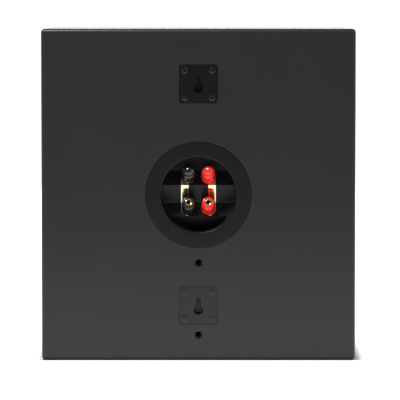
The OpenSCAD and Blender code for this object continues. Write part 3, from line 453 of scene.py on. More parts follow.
ridge_round, valley_round = 0.0007, 0.004
past = recess_r + 0.005
low = ridge_z - (past - face_end) * riser_slope
floor_line = eased([(-past, low, 0), (-face_end, ridge_z, ridge_round), (-face_step, valley_z, valley_round),
                    (face_step, ridge_z, ridge_round), (face_end, valley_z, valley_round),
                    (past, valley_z, 0)])
floor_up = [up for up, out in floor_line]
floor_out = [out for up, out in floor_line]
floor_r = recess_low_r + 0.0001
stations = sorted({round(floor_r * math.sin(math.radians(a)), 7) for a in range(-90, 91, 3)}
                  | {round(u, 7) for u in floor_up if abs(u) < floor_r})
cup_points, cup_faces, rows = [], [], []
columns, narrowest = 24, 1e-6
for up in stations:
    half = math.sqrt(max(0.0, floor_r ** 2 - up ** 2))
    out = float(np.interp(up, floor_up, floor_out))
    row = []
    for k in range(columns + 1 if half > narrowest else 1):
        row.append(len(cup_points))
        cup_points.append((half * (2 * k / columns - 1) if half > narrowest else 0.0, up, out))
    rows.append(row)
for low, high in zip(rows, rows[1:]):
    for k in range(columns):
        a, b = (low[k], low[k + 1]) if len(low) > 1 else (low[0], low[0])
        c, d = (high[k + 1], high[k]) if len(high) > 1 else (high[0], high[0])
        cup_faces.append(tuple(dict.fromkeys((a, b, c, d))))
rim = [row[-1] for row in rows] + [row[0] for row in reversed(rows[1:-1])]
rim_angle = [math.atan2(cup_points[i][1], cup_points[i][0]) for i in rim]
wall_top_r, wall_top, cup_end = recess_r - 0.0002, -0.0026, -0.0245
lip = [(wall_top_r, wall_top), (recess_r, -0.0011), (recess_r + 0.00025, -0.0004),
       (recess_r + 0.0007, -0.00008), (recess_r + 0.0012, 0), (flange_r - 0.0008, 0),
       (flange_r - 0.0003, -0.00012), (flange_r - 0.00005, -0.0004), (flange_r, -0.0009),
       (flange_r, -flange_thick), (cup_out_r, -flange_thick), (cup_out_r, cup_end)]
last_ring = rim
for share in (0.35, 0.75):
    ring = []
    for i, angle in zip(rim, rim_angle):
        r = floor_r + (wall_top_r - floor_r) * share
        out = cup_points[i][2] + (wall_top - cup_points[i][2]) * share
        ring.append(len(cup_points))
        cup_points.append((r * math.cos(angle), r * math.sin(angle), out))
    cup_faces += [(last_ring[k], last_ring[(k + 1) % len(rim)], ring[(k + 1) % len(rim)], ring[k])
                  for k in range(len(rim))]
    last_ring = ring
for r, out in lip:
    ring = list(range(len(cup_points), len(cup_points) + len(rim)))
    cup_points += [(r * math.cos(angle), r * math.sin(angle), out) for angle in rim_angle]
    cup_faces += [(last_ring[k], last_ring[(k + 1) % len(rim)], ring[(k + 1) % len(rim)], ring[k])
                  for k in range(len(rim))]
    last_ring = ring
cup_faces.append(tuple(last_ring))
cup_abs = grained("black_abs", (0.0078, 0.0078, 0.0075), 0.34, tone=0.08, blotch=0.01, grain=0.00035,
                  deep=0.000012, swing=0.04, Specular_IOR_Level=0.2)
cup = piece("terminal_cup_moulding", placed(cup_points, on_back()), cup_faces, cup_abs, crease=50)
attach(cup, "cabinet")
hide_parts("terminal_cup")

seal_foam = grained("seal_foam", (0.012, 0.012, 0.012), 0.95, grain=0.0008, deep=0.0002, cells=True)
dress(seal_foam, "terminal_cup_gasket", "woofer_gasket")
cup_screw_r, quarters = 0.0455, [math.radians(d) for d in (45, 135, 225, 315)]
drive_screws("terminal_cup_wood_screws", "terminal_cup_screws",
             [on_back() @ Matrix.Translation((cup_screw_r * math.cos(a), cup_screw_r * math.sin(a), 0))
              for a in quarters])

# ---------------------------------------------------------------------------
# Binding posts: four turned brass posts with an M6 thread, gold-plated and polished. Each has a
# 4 mm plug socket in its tip and a cross hole for bare wire, and a nut holds it behind the cup.
# ---------------------------------------------------------------------------

post_r, thread_root_r, socket_r = 0.003, 0.00252, 0.002
post_tip, post_tail, socket_floor = 0.016, -0.015, 0.0055
collar_r, collar_thick = 0.0046, 0.0015
wire_hole_r, wire_hole_up = 0.001, 0.0034
post_thread_pitch, thread_gap, tip_gap = 0.001, 0.0006, 0.0014
crest_r, drill_reach = post_r - 0.00002, 0.006
columns_of_posts = {"black": -1, "red": 1}
rows_of_posts = {"upper": 1, "lower": -1}


def on_post(colour, row):
    """Places a piece drawn along its post's axis, with Z = 0 on the cup's tilted face."""
    foot = (columns_of_posts[colour] * post_pitch_x / 2, rows_of_posts[row] * post_pitch_y / 2, post_base_z)
    return on_back() @ Matrix.Translation(foot) @ Matrix.Rotation(-post_tilt, 4, "X")


def thread(root, crest, pitch, low, high, steps=36):
    """A screw thread's ridge, wound from low to high, that fades into its core at both ends."""
    points, faces = [], []
    count, fade = int((high - low) / pitch * steps), steps * 0.4
    least, buried = root + 0.00004, root - 0.0001
    for i in range(count + 1):
        angle, middle = 2 * math.pi * i / steps, low + pitch * i / steps
        top = least + (crest - least) * min(1.0, i / fade, (count - i) / fade)
        for r, away in ((buried, -0.46), (top, -0.09), (top, 0.09), (buried, 0.46)):
            points.append((r * math.cos(angle), r * math.sin(angle), middle + away * pitch))
    for i in range(count):
        a, b = 4 * i, 4 * (i + 1)
        faces += [(a + k, a + (k + 1) % 4, b + (k + 1) % 4, b + k) for k in range(4)]
    faces += [(3, 2, 1, 0), tuple(4 * count + k for k in range(4))]
    return points, faces


def gold_finish(name, colour, roughness):
    """Metal with hairline polishing marks, and a slow change of tone and of gloss: polished gold plate, or
    dark brass as painted shade in a bore.
    """
    material, tree, shader, place = paint(name, colour, roughness, 1.0)
    slow = speckle(tree, place, 0.004, 3.0)
    hair = speckle(tree, stretched(tree, place, (1.0, 0.12, 0.12)), 0.0004, 2.0)
    tone = between(tree, slow, shade(colour, 0.93), shade(colour, 1.05))
    tree.links.new(tone, shader.inputs["Base Color"])
    tree.links.new(spread(tree, slow, roughness * 0.75, roughness * 1.3), shader.inputs["Roughness"])
    relief(tree, shader, (hair, 0.000003))
    return material


gold = gold_finish("polished_gold_plate", (0.95, 0.80, 0.46), 0.13)
core_profile = eased([(0, post_tail, 0), (thread_root_r, post_tail, 0.0004),
                      (thread_root_r, -collar_thick, 0), (collar_r, -collar_thick, 0.0002),
                      (collar_r, 0, 0.0002), (thread_root_r, 0, 0),
                      (thread_root_r, post_tip - 0.0012, 0), (post_r, post_tip - 0.0009, 0.0002),
                      (post_r, post_tip, 0.00025), (socket_r, post_tip, 0.00025),
                      (socket_r, socket_floor, 0), (0, socket_floor - 0.0006, 0)])
hole_tool, hole_faces = turned([(0, -drill_reach), (wire_hole_r, -drill_reach),
                                (wire_hole_r, drill_reach), (0, drill_reach)], 24)
across = Matrix.Translation((0, 0, wire_hole_up)) @ Matrix.Rotation(math.pi / 2, 4, "Y")
# Dark brass for the faces inside each socket: painted shade for the deep bore.
bore_brass_painted_shade = gold_finish("brass_bore_painted_shade", (0.20, 0.13, 0.05), 0.45)
post_shape, post_faces = [], []
for points, faces in (turned(core_profile, 48),
                      thread(thread_root_r, crest_r, post_thread_pitch, thread_gap, post_tip - tip_gap),
                      thread(thread_root_r, crest_r, post_thread_pitch, post_tail + thread_gap,
                             -collar_thick - thread_gap)):
    solid = piece("post_part", points, faces, gold)
    solid = cut_away(solid, piece("hole_tool", placed(hole_tool, across), hole_faces, gold))
    points, faces = shape_of(solid)
    first = len(post_shape)
    post_shape += points
    post_faces += [tuple(first + i for i in f) for f in faces]
for colour in columns_of_posts:
    for row in rows_of_posts:
        axis = on_post(colour, row)
        post = piece(f"post_{row}_{colour}_threaded", placed(post_shape, axis), post_faces, gold)
        # Faces inside the socket take the dark brass as painted shade.
        post.data.materials.append(bore_brass_painted_shade)
        for face in post.data.polygons:
            spot = axis.inverted() @ face.center
            if math.hypot(spot.x, spot.y) < socket_r + 0.0001 and spot.z > socket_floor - 0.001:
                face.material_index = 1
        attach(post, "cabinet")
        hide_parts(f"post_{row}_{colour}")
dress(zinc, "post_nuts")
dress(gold, "solder_lugs")

# ---------------------------------------------------------------------------
# Jumper links: two flat brass strips, gold-plated, bent to follow the cup's stepped floor. Each
# hooks round an upper and a lower post from outside, and both caps clamp it down.
# ---------------------------------------------------------------------------

link_thick, link_reach, clamp_gap = 0.0008, 0.0074, 0.0003
link_bend, link_step, least_width = 0.0011, 0.0004, 0.0012
edge_round, edge_part = 0.00016, 0.2
notch_r = post_r + 0.0003


def link_lines():
    """The strip's underside and its top, as (up, out) points at the same stations."""
    half = link_thick / 2
    lift = (clamp_gap + half) / math.cos(post_tilt)
    line = eased([(-face_end, ridge_z + lift, 0), (-face_step, valley_z + lift, link_bend),
                  (face_step, ridge_z + lift, link_bend), (face_end, valley_z + lift, 0)], steps=8)
    fine = []
    for (u0, o0), (u1, o1) in zip(line, line[1:]):
        pieces = max(1, int(math.hypot(u1 - u0, o1 - o0) / link_step))
        fine += [(u0 + (u1 - u0) * k / pieces, o0 + (o1 - o0) * k / pieces) for k in range(pieces)]
    fine.append(line[-1])
    under, over = [], []
    for i, (u, o) in enumerate(fine):
        u0, o0 = fine[max(i - 1, 0)]
        u1, o1 = fine[min(i + 1, len(fine) - 1)]
        along = Vector((u1 - u0, o1 - o0)).normalized()
        out = Vector((-along.y, along.x))
        under.append((u - out.x * half, o - out.y * half))
        over.append((u + out.x * half, o + out.y * half))
    return under, over


def link_edges(up, out):
    """The strip's inner and outer edge at a point of its length, measured from the posts' axis."""
    inner, outer = 0.0, link_reach
    for row in (1, -1):
        foot_up, foot_out = row * post_pitch_y / 2, post_base_z
        off = (up - foot_up) * math.cos(post_tilt) - (out - foot_out) * math.sin(post_tilt)
        if abs(off) < notch_r:
            inner = max(inner, math.sqrt(notch_r ** 2 - off ** 2))
        if row * off > 0:
            outer = min(outer, math.sqrt(max(0.0, link_reach ** 2 - off ** 2)))
    return inner, outer


for colour, side in columns_of_posts.items():
    under, over = link_lines()
    points, faces, sections = [], [], 0
    for low, high in zip(under, over):
        inner, outer = link_edges(*((Vector(low) + Vector(high)) / 2))
        if outer - inner < least_width:
            continue
        corner = [(inner + edge_round * (1 - math.sin(a)), edge_part * (1 - math.cos(a)))
                  for a in (math.radians(d) for d in (90, 60, 30, 0))]
        ring = corner + [(inner + outer - x, part) for x, part in corner[::-1]]
        ring += [(x, 1 - part) for x, part in ring[::-1]]
        for x, part in ring:
            spot = Vector(low) * (1 - part) + Vector(high) * part
            points.append((side * (post_pitch_x / 2 + x), spot.x, spot.y))
        sections += 1
    around = len(ring)
    for i in range(sections - 1):
        a, b = around * i, around * (i + 1)
        faces += [(a + k, a + (k + 1) % around, b + (k + 1) % around, b + k) for k in range(around)]
    faces += [tuple(range(around - 1, -1, -1)), tuple(around * (sections - 1) + k for k in range(around))]
    link = piece(f"jumper_link_{colour}_strip", placed(points, on_back()), faces, gold, crease=60)
    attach(link, f"{colour}_jumper_link")
    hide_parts(f"jumper_link_{colour}")

# ---------------------------------------------------------------------------
# Caps: each is a glossy fluted plastic moulding pressed over a gold-plated brass bush. The bush
# is threaded inside, climbs its post as the cap is turned, and its end shows as a gold ring.
# ---------------------------------------------------------------------------

cap_foot = clamp_gap + link_thick + clamp_gap
cap_foot_r, cap_grip_r, cap_nose_r = 0.0069, 0.0067, 0.0056
bush_foot_r, bush_wall_r, bush_nose_r = post_r + 0.0022, post_r + 0.0011, post_r + 0.00045
bush_foot_thick, nose_thick, fit = 0.001, 0.0014, 0.00005
flutes, flute_deep, flute_sharpness = 12, 0.00042, 1.6
flute_low, flute_high, flute_start, flute_fade = cap_foot + 0.0031, cap_foot + 0.0114, 0.0006, 0.0014
cap_step, inside_cap = 0.0005, 0.005

bush_profile = eased([(post_r + fit, cap_foot, 0.0002), (bush_foot_r, cap_foot, 0.0001),
                      (bush_foot_r, cap_foot + bush_foot_thick, 0.0001),
                      (bush_wall_r, cap_foot + bush_foot_thick, 0), (bush_wall_r, post_tip - nose_thick, 0),
                      (bush_nose_r, post_tip - nose_thick, 0), (bush_nose_r, post_tip, 0.00012),
                      (post_r + fit, post_tip, 0.00012)], closed=True, steps=3)
cap_profile = eased([(bush_foot_r + fit, cap_foot, 0), (cap_foot_r, cap_foot, 0.0004),
                     (cap_foot_r, cap_foot + 0.0023, 0.0003), (cap_grip_r, cap_foot + 0.0027, 0.0002),
                     (cap_grip_r, cap_foot + 0.0106, 0.0012),
                     (cap_nose_r + 0.0001, cap_foot + 0.0124, 0.0012),
                     (cap_nose_r, post_tip, 0.0007), (bush_nose_r + fit, post_tip, 0.0002),
                     (bush_nose_r + fit, post_tip - nose_thick + fit, 0),
                     (bush_wall_r + fit, post_tip - nose_thick + fit, 0),
                     (bush_wall_r + fit, cap_foot + bush_foot_thick + fit, 0),
                     (bush_foot_r + fit, cap_foot + bush_foot_thick + fit, 0)], closed=True)
fine_cap = []
for (r0, z0), (r1, z1) in zip(cap_profile, cap_profile[1:] + cap_profile[:1]):
    parts = max(1, int(math.hypot(r1 - r0, z1 - z0) / cap_step)) if min(r0, r1) > inside_cap else 1
    fine_cap += [(r0 + (r1 - r0) * k / parts, z0 + (z1 - z0) * k / parts) for k in range(parts)]
bush_shape, bush_faces = turned(bush_profile, 64, closed=True)
round_cap, cap_faces = turned(fine_cap, 12 * flutes, closed=True)
cap_shape = []
for x, y, z in round_cap:
    r, angle = math.hypot(x, y), math.atan2(y, x)
    if r > cap_nose_r - 0.0002:
        low = min(1.0, max(0.0, (z - flute_low) / flute_start))
        high = min(1.0, max(0.0, (flute_high - z) / flute_fade))
        window = (low * low * (3 - 2 * low)) * (high * high * (3 - 2 * high))
        groove = (0.5 + 0.5 * math.cos(flutes * angle)) ** flute_sharpness
        r -= flute_deep * window * groove
    cap_shape.append((r * math.cos(angle), r * math.sin(angle), z))


def cap_plastic(name, colour, **fixed):
    """Bright moulded plastic with faint flow marks under a glossy skin."""
    material, tree, shader, place = paint(name, colour, 0.16, **fixed)
    flow = speckle(tree, stretched(tree, place, (1.0, 0.35, 0.35)), 0.0025, 3.0)
    tree.links.new(between(tree, flow, shade(colour, 0.9), shade(colour, 1.1)), shader.inputs["Base Color"])
    tree.links.new(spread(tree, flow, 0.1, 0.24), shader.inputs["Roughness"])
    relief(tree, shader, (flow, 0.00001), (speckle(tree, place, 0.0003, 2.0), 0.000002))
    return material


cap_colours = {
    "black": cap_plastic("glossy_black_plastic", (0.012, 0.012, 0.0125), Coat_Weight=0.6,
                         Coat_Roughness=0.06),
    "red": cap_plastic("glossy_red_plastic", (0.86, 0.028, 0.02), Coat_Weight=0.6, Coat_Roughness=0.06,
                       Subsurface_Weight=0.25, Subsurface_Scale=0.002),
}
for colour in columns_of_posts:
    for row in rows_of_posts:
        where = on_post(colour, row)
        bush = piece(f"bush_{row}_{colour}_gold", placed(bush_shape, where), bush_faces, gold)
        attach(bush, f"{row}_{colour}_bush")
        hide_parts(f"bush_{row}_{colour}")
        cap = piece(f"cap_{row}_{colour}_moulding", placed(cap_shape, where), cap_faces,
                    cap_colours[colour])
        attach(cap, f"{row}_{colour}_cap")
        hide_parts(f"cap_{row}_{colour}")

# ---------------------------------------------------------------------------
# End plugs: domed plastic plugs, in the colour of their caps, pushed into the sockets of the
# upper posts. A short pin grips the socket's wall.
# ---------------------------------------------------------------------------

plug_r, plug_rim, plug_dome, plug_pin = 0.0047, 0.0005, 0.0024, 0.009
dome_ball = (plug_r ** 2 + plug_dome ** 2) / (2 * plug_dome)
dome_line = [(dome_ball * math.sin(a), plug_rim + plug_dome - dome_ball * (1 - math.cos(a)))
             for a in (math.asin(plug_r / dome_ball) * k / 14 for k in range(15))]
plug_profile = [(0, plug_rim + plug_dome)] + dome_line[1:-1]
plug_profile += [(plug_r, plug_rim - 0.0001), (plug_r - 0.0001, 0.00002), (socket_r - fit, 0),
                 (socket_r - fit, -plug_pin + 0.0006), (socket_r - 0.0006, -plug_pin), (0, -plug_pin)]
plug_shape, plug_faces = turned(plug_profile, 56)
for colour in columns_of_posts:
    seat = on_post(colour, "upper") @ Matrix.Translation((0, 0, post_tip))
    plug = piece(f"end_plug_{colour}_dome", placed(plug_shape, seat), plug_faces, cap_colours[colour])
    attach(plug, f"{colour}_end_plug")
    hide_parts(f"end_plug_{colour}")

# ---------------------------------------------------------------------------
# Grille sockets: four moulded plastic cups, pushed into blind holes near the baffle's corners.
# A grille's pegs push into them.
# ---------------------------------------------------------------------------

socket_inset, socket_out_r, socket_bore_r, socket_deep = 0.020, 0.005, 0.0031, 0.012


def on_baffle(up, right=0.0):
    """Places a piece drawn as seen from the front: X right, Y up, Z out of the baffle."""
    return Matrix(((1, 0, 0, right), (0, 0, -1, front_y), (0, 1, 0, up), (0, 0, 0, 1)))


moulded_black = grained("moulded_black_plastic", (0.014, 0.014, 0.014), 0.4, blotch=0.004, grain=0.0003,
                        deep=0.00001)
socket_bottom = -socket_deep + 0.002
socket_profile = eased([(0, -socket_deep, 0), (socket_out_r, -socket_deep, 0.0004),
                        (socket_out_r, 0, 0.0003), (socket_bore_r, 0, 0.0005),
                        (socket_bore_r, socket_bottom, 0.0003), (0, socket_bottom, 0)])
sockets = piece("grille_sockets_moulding", *copies(*turned(socket_profile, 40), [
    on_baffle(height / 2 + y * (height / 2 - socket_inset), x * (width / 2 - socket_inset))
    for x in (-1, 1) for y in (-1, 1)]), moulded_black)
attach(sockets, "cabinet")
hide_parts("grille_sockets")

# ---------------------------------------------------------------------------
# Woofer frame: a cast alloy basket, shot-blasted and powder-coated satin black, bolted through
# its flange. The motor behind it is zinc-plated steel round a ring of ferrite.
# ---------------------------------------------------------------------------

tweeter_plate_r, woofer_frame_r, driver_gap = 0.050, 0.090, 0.008
spare = height - 2 * (woofer_frame_r + tweeter_plate_r) - driver_gap
woofer_up = spare * 0.56 + woofer_frame_r
tweeter_up = woofer_up + woofer_frame_r + driver_gap + tweeter_plate_r
basket_coat = grained("basket_powder_coat", (0.014, 0.014, 0.0145), 0.42, tone=0.1, blotch=0.01,
                      grain=0.0006, deep=0.00004)
ferrite = grained("ferrite", (0.045, 0.045, 0.047), 0.7, tone=0.2, blotch=0.006, grain=0.0005, deep=0.00004)
dress(basket_coat, "woofer_frame")
dress(zinc, "woofer_top_plate", "woofer_yoke", "tweeter_top_plate", "tweeter_yoke")
dress(ferrite, "woofer_magnet", "tweeter_magnet")
dress(black_oxide, "woofer_screws")

# ---------------------------------------------------------------------------
# Woofer surround: a half roll of soft moulded rubber, glued to the cone's rim inside and to the
# basket outside. It rolls as the cone moves, so it bends from the cone to the cabinet.
# ---------------------------------------------------------------------------

basket_r, skin = 0.080, 0.0008
seat_z, seat_in_r, seat_out_r = -0.0065, basket_r - 0.0072, basket_r - 0.002
roll_in_r = seat_in_r - 0.0093
roll_mid_r, roll_r = (roll_in_r + seat_in_r) / 2, (seat_in_r - roll_in_r) / 2


def bend_outward(made):
    """Bakes a round piece's placement into its mesh; the piece is attached to no body."""
    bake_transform(made)


def sheet_profile(line, thick):
    """A thin moulded sheet: the line's points, then the same line set back by its thickness."""
    back = []
    for i, (r, z) in enumerate(line):
        r0, z0 = line[max(i - 1, 0)]
        r1, z1 = line[min(i + 1, len(line) - 1)]
        along = Vector((r1 - r0, z1 - z0)).normalized()
        back.append((r + along.y * thick, z - along.x * thick))
    return line + back[::-1]


rubber = grained("surround_rubber", (0.0125, 0.0125, 0.0128), 0.48, tone=0.08, blotch=0.01, grain=0.0005,
                 deep=0.00001, Sheen_Weight=0.15, Sheen_Roughness=0.5)


def half_roll(middle, radius, seat, thick, flat, steps):
    """The top of a rolled edge that starts and stops a little before it would meet its seat."""
    reach = radius + thick / 2
    return [(middle - reach * math.cos(a), seat + thick / 2 + reach * math.sin(a))
            for a in (math.pi * (flat + (1 - 2 * flat) * k / steps) for k in range(steps + 1))]


glued = 0.004
roll_line = [(roll_in_r - glued, seat_z + skin), (roll_in_r - 0.001, seat_z + skin)]
roll_line += half_roll(roll_mid_r, roll_r, seat_z, skin, 0.04, 28)
roll_line += [(seat_in_r + 0.001, seat_z + skin), (seat_out_r - 0.0001, seat_z + skin)]
roll_shape, roll_faces = turned(sheet_profile(roll_line, skin * 0.96), 144, closed=True)
surround = piece("woofer_surround_rubber", placed(roll_shape, on_baffle(woofer_up)), roll_faces, rubber,
                 crease=60)
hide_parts("woofer_surround")
bend_outward(surround)

# ---------------------------------------------------------------------------
# Woofer cone and dust cap: moulded from mica-filled polypropylene, with very fine turned rings
# and bright flecks in a dark satin skin. The cap is glued over the voice coil.
# ---------------------------------------------------------------------------

cone_r, cone_rim_r, coil_r = roll_in_r - 0.0001, roll_in_r - 0.0042, 0.0194
neck_r, neck_z, cone_foot_z = coil_r + 0.0002, seat_z - 0.0295, seat_z - 0.029
belly_r, belly_rise, belly_round = 0.041, 0.70, 0.03
wave_unit = 0.314
cap_seat_r, dust_cap_rise = coil_r + 0.003, 0.008


def flecked(name, colour, axis_up, ring_size):
    """Dark filled plastic: bright mica flecks, and fine rings about the driver's axis."""
    material, tree, shader, place = paint(name, colour, 0.42)
    centred = tree.nodes.new("ShaderNodeVectorMath")
    centred.operation = "SUBTRACT"
    centred.inputs[1].default_value = (0, front_y, axis_up)
    tree.links.new(place, centred.inputs[0])
    rings = tree.nodes.new("ShaderNodeTexWave")
    rings.wave_type, rings.rings_direction = "RINGS", "Y"
    rings.inputs["Scale"].default_value = wave_unit / ring_size
    tree.links.new(centred.outputs["Vector"], rings.inputs["Vector"])
    flecks = tree.nodes.new("ShaderNodeTexVoronoi")
    flecks.inputs["Scale"].default_value = 1400
    tree.links.new(place, flecks.inputs["Vector"])
    sparkle = spread(tree, flecks.outputs["Distance"], 1.0, 0.0, 0.08, 0.3)
    tree.links.new(between(tree, sparkle, colour, shade(colour, 3.2)), shader.inputs["Base Color"])
    tree.links.new(spread(tree, speckle(tree, place, 0.006), 0.34, 0.5), shader.inputs["Roughness"])
    relief(tree, shader, (rings.outputs["Fac"], 0.00002), (sparkle, 0.000008))
    return material


cone_plastic = flecked("mica_filled_plastic", (0.022, 0.022, 0.024), woofer_up, 0.0012)
cone_line = eased([(cone_r, seat_z, 0), (cone_rim_r, seat_z, 0.002),
                   (belly_r, cone_foot_z + (belly_r - neck_r) * belly_rise, belly_round),
                   (neck_r, cone_foot_z, 0)], steps=14)
cone_shape, cone_faces = turned(sheet_profile(cone_line[::-1], skin), 144, closed=True)
cone = piece("woofer_cone_moulding", placed(cone_shape, on_baffle(woofer_up)), cone_faces, cone_plastic,
             crease=50)
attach(cone, "woofer_moving_parts")
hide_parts("woofer_cone")
slope = (seat_z - cone_foot_z) / (cone_rim_r - neck_r)
cap_base_z = cone_foot_z + (cap_seat_r - neck_r) * slope


def dome_skin(edge_r, rise, base_z, thick, inner_share, steps):
    """A thin dome's profile: its outside from the top to the edge, then its inside back to the top."""
    ball = (edge_r ** 2 + rise ** 2) / (2 * rise)
    outside = [(ball * math.sin(a), base_z + rise - ball * (1 - math.cos(a)))
               for a in (math.asin(edge_r / ball) * k / steps for k in range(steps + 1))]
    return outside + [(r * inner_share, z - thick) for r, z in outside[::-1]]


dust_shape, dust_faces = turned(dome_skin(cap_seat_r, dust_cap_rise, cap_base_z, skin, 0.985, 20), 96)
dust_cap = piece("woofer_dust_cap_moulding", placed(dust_shape, on_baffle(woofer_up)), dust_faces,
                 cone_plastic)
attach(dust_cap, "woofer_moving_parts")
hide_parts("woofer_dust_cap")

# ---------------------------------------------------------------------------
# Voice coils and spider: enamelled copper wire wound on a former, centred by a disc of woven
# cotton pressed into ripples and stiffened with resin. The disc bends as the coil moves.
# ---------------------------------------------------------------------------


def wound(name, colour, size):
    """Enamelled wire laid turn against turn along the front-to-back axis."""
    material, tree, shader, place = paint(name, colour, 0.3, 0.9)
    wire = tree.nodes.new("ShaderNodeTexWave")
    wire.bands_direction = "Y"
    wire.inputs["Scale"].default_value = wave_unit / size
    tree.links.new(place, wire.inputs["Vector"])
    tone = between(tree, wire.outputs["Fac"], shade(colour, 0.55), colour)
    tree.links.new(tone, shader.inputs["Base Color"])
    relief(tree, shader, (wire.outputs["Fac"], size * 0.3))
    return material


def joined(tree, operation, first, second):
    """One number made of two by simple arithmetic."""
    node = tree.nodes.new("ShaderNodeMath")
    node.operation = operation
    tree.links.new(first, node.inputs[0])
    tree.links.new(second, node.inputs[1])
    return node.outputs["Value"]


def woven(name, colour, roughness, thread_size, deep, **fixed):
    """Plain-woven cloth: two crossing sets of threads, and slow changes in its tone."""
    material, tree, shader, place = paint(name, colour, roughness, **fixed)
    weave = []
    for direction in ("X", "Z"):
        threads = tree.nodes.new("ShaderNodeTexWave")
        threads.bands_direction = direction
        threads.inputs["Scale"].default_value = wave_unit / thread_size
        threads.inputs["Distortion"].default_value = 0.4
        tree.links.new(place, threads.inputs["Vector"])
        weave.append(threads.outputs["Fac"])
    tone = between(tree, speckle(tree, place, 0.008), shade(colour, 0.85), shade(colour, 1.15))
    tree.links.new(tone, shader.inputs["Base Color"])
    relief(tree, shader, (joined(tree, "MULTIPLY", *weave), deep))
    return material


copper = wound("enamelled_copper_wire", (0.62, 0.26, 0.12), 0.0004)
dress(copper, "woofer_voice_coil", "tweeter_voice_coil", "crossover_inductors")
spider_cloth = woven("resin_stiffened_cotton", (0.46, 0.33, 0.12), 0.8, 0.0006, 0.00012, Sheen_Weight=0.3)
spider_top, spider_in_r, spider_out_r = -0.0521 + skin / 2, 0.041, 0.047
ripple, ripple_count, ripple_steps = 0.002, 3, 72
spider_line = [(neck_r, spider_top)]
for s in (k / ripple_steps for k in range(1, ripple_steps + 1)):
    spider_line.append((neck_r + s * (spider_in_r - neck_r),
                        spider_top + ripple * math.sin(2 * ripple_count * math.pi * s)))
spider_line.append((spider_out_r, spider_top))
spider_shape, spider_faces = turned(sheet_profile(spider_line, skin * 0.9), 96, closed=True)
spider = piece("woofer_spider_cloth", placed(spider_shape, on_baffle(woofer_up)), spider_faces,
               spider_cloth, crease=70)
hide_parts("woofer_spider")
bend_outward(spider)

# ---------------------------------------------------------------------------
# Tweeter: a black moulded faceplate with a short flare, screwed over a coated silk dome. The
# dome's own small half roll holds it in place and lets it move.
# ---------------------------------------------------------------------------

dome_r, dome_rise, silk = 0.0127, 0.005, 0.0004
tweeter_seat_z, throat_r, tweeter_screw_r = -0.010, dome_r + 0.0036, 0.044
dome_base_z = tweeter_seat_z + 0.0005
faceplate_grain = grained("faceplate_plastic", (0.0135, 0.0135, 0.014), 0.4, tone=0.06, blotch=0.01,
                          grain=0.0004, deep=0.000015)
dress(faceplate_grain, "tweeter_faceplate")
drive_screws("tweeter_wood_screws", "tweeter_screws",
             [on_baffle(tweeter_up)
              @ Matrix.Translation((tweeter_screw_r * math.cos(a), tweeter_screw_r * math.sin(a), 0))
              for a in quarters])
coated_silk = woven("coated_silk", (0.017, 0.0145, 0.0135), 0.5, 0.00025, 0.00002, Coat_Weight=0.25,
                    Coat_Roughness=0.35)
dome_shape, dome_faces = turned(dome_skin(dome_r, dome_rise, dome_base_z, silk, 0.975, 18), 96)
dome = piece("tweeter_dome_silk", placed(dome_shape, on_baffle(tweeter_up)), dome_faces, coated_silk)
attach(dome, "tweeter_moving_parts")
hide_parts("tweeter_dome")
silk_roll_r = (throat_r - 0.0003 - dome_r - silk) / 2
silk_mid_r = dome_r + silk_roll_r + silk / 2
silk_roll = half_roll(silk_mid_r, silk_roll_r, tweeter_seat_z, silk, 0.05, 16)
silk_roll.append((throat_r + 0.0029, tweeter_seat_z + silk))
silk_shape, silk_faces = turned(sheet_profile(silk_roll, silk * 0.9), 96, closed=True)
silk_ring = piece("tweeter_surround_silk", placed(silk_shape, on_baffle(tweeter_up)), silk_faces,
                  coated_silk, crease=70)
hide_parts("tweeter_surround")
bend_outward(silk_ring)

# ---------------------------------------------------------------------------
# Crossover and wiring: coils, film capacitors and cement resistors on a fibreglass board, and
# sleeved wires soldered to the terminals and to the tag strips of both drivers.
# ---------------------------------------------------------------------------

dress(grained("green_lacquered_fibreglass", (0.016, 0.075, 0.035), 0.35, blotch=0.006, grain=0.0007,
              deep=0.00002), "crossover_board")
dress(grained("natural_nylon", (0.72, 0.70, 0.63), 0.5, blotch=0.004, grain=0.0004), "crossover_standoffs")
dress(grained("yellow_film_wrap", (0.52, 0.35, 0.05), 0.25, blotch=0.005, grain=0.0009),
      "crossover_capacitors")
dress(grained("white_cement", (0.66, 0.65, 0.6), 0.9, blotch=0.003, grain=0.0005, deep=0.0001),
      "crossover_resistors")
dress(grained("wire_sleeve", (0.30, 0.018, 0.013), 0.4, blotch=0.004, grain=0.0005), "internal_leads")
dress(grained("fibre_strip", (0.20, 0.11, 0.045), 0.7, blotch=0.003, grain=0.0004), "driver_terminals")

# ---------------------------------------------------------------------------
# Studio: a softly glowing white table top whose glow fades out close round the cabinet as a painted
# contact shadow, a surround that looks white but lights little, and four soft lights. The key light
# stands high on the left as seen from behind, where the camera is.
# ---------------------------------------------------------------------------

scene = bpy.context.scene
scene.view_settings.view_transform = "Standard"
table_edge, table_near, table_up = 6.0, back_y + 1.2, -0.0002
painted_shadow_to, painted_shadow_ends = 0.002, 0.012
glow_as_light, glow_seen, surround_as_light, surround_seen = 0.7, 1.05, 0.14, 1.05
table_mesh = bpy.data.meshes.new("white_table_top")
table_mesh.from_pydata([(x, y, table_up) for x, y in ((-table_edge, -table_edge), (table_edge, -table_edge),
                                                      (table_edge, table_near), (-table_edge, table_near))],
                       [], [(0, 1, 2, 3)])
table = bpy.data.objects.new("white_table_top", table_mesh)
scene.collection.objects.link(table)
acrylic = grained("lit_white_acrylic", (0.9, 0.9, 0.9), 0.9, tone=0.01, blotch=2.0, grain=0.02,
                  deep=0.00001, Emission_Color=(1, 1, 1, 1))
tree = acrylic.node_tree
away = tree.nodes.new("ShaderNodeVectorMath")
away.operation = "ABSOLUTE"
tree.links.new(tree.nodes.new("ShaderNodeTexCoord").outputs["Object"], away.inputs[0])
beyond = tree.nodes.new("ShaderNodeVectorMath")
beyond.operation = "SUBTRACT"
tree.links.new(away.outputs[0], beyond.inputs[0])
beyond.inputs[1].default_value = (width / 2, depth / 2, 0)
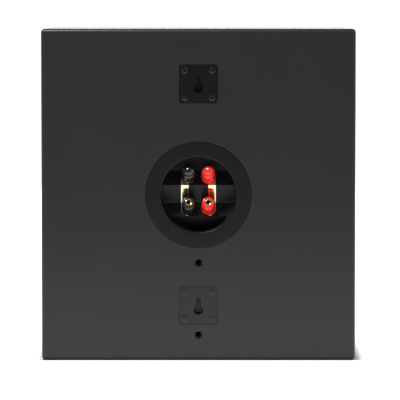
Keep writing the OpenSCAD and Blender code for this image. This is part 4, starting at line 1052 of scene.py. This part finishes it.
apart = tree.nodes.new("ShaderNodeSeparateXYZ")
tree.links.new(beyond.outputs[0], apart.inputs[0])
# Painted contact shadow: the table's glow is nothing within 2 mm of the cabinet's footprint and full from 12
# mm out.
clear_of_painted_shadow = spread(tree, joined(tree, "MAXIMUM", apart.outputs[0], apart.outputs[1]), 0.0, 1.0,
                   painted_shadow_to, painted_shadow_ends)
seen = tree.nodes.new("ShaderNodeLightPath").outputs["Is Camera Ray"]
glow = joined(tree, "MULTIPLY", clear_of_painted_shadow, spread(tree, seen, glow_as_light, glow_seen, 0.0, 1.0))
tree.links.new(glow, tree.nodes["Principled BSDF"].inputs["Emission Strength"])
table_mesh.materials.append(acrylic)

world = bpy.data.worlds.new("white_surround")
scene.world = world
world.use_nodes = True
sky = world.node_tree.nodes["Background"]
seen = world.node_tree.nodes.new("ShaderNodeLightPath").outputs["Is Camera Ray"]
world.node_tree.links.new(spread(world.node_tree, seen, surround_as_light, surround_seen, 0.0, 1.0),
                          sky.inputs["Strength"])
sky.inputs["Color"].default_value = (1.0, 1.0, 1.0, 1)


def softbox(name, where, aim, size, watts):
    light = bpy.data.lights.new(name, "AREA")
    light.shape, light.size, light.energy = "SQUARE", size, watts
    made = bpy.data.objects.new(name, light)
    made.location = where
    made.rotation_euler = (Vector(aim) - Vector(where)).to_track_quat("-Z", "Y").to_euler()
    scene.collection.objects.link(made)


softbox("key_light", (0.36, 0.42, 1.25), (0, 0.13, 0.17), 0.34, 15.0)
softbox("side_light", (-1.15, 0.42, 0.6), (0, 0.1, 0.15), 0.28, 3.0)
softbox("front_light", (-1.0, -2.6, 1.6), (0, -0.1, 0.15), 1.2, 22)
softbox("backdrop_light", (0, -2.6, 0.35), (0, 0, 0.32), 0.9, 9)

camera = bpy.data.objects.new("camera", bpy.data.cameras.new("camera"))
scene.collection.objects.link(camera)
scene.camera = camera
camera.data.sensor_width = 36
camera.data.lens = 280.6
camera.location = (0.0, back_y + 3.0, 0.344)
camera_aim = Vector((-0.0015, back_y, 0.1551))
camera.rotation_euler = (camera_aim - camera.location).to_track_quat("-Z", "Y").to_euler()
camera.data.clip_end = 100
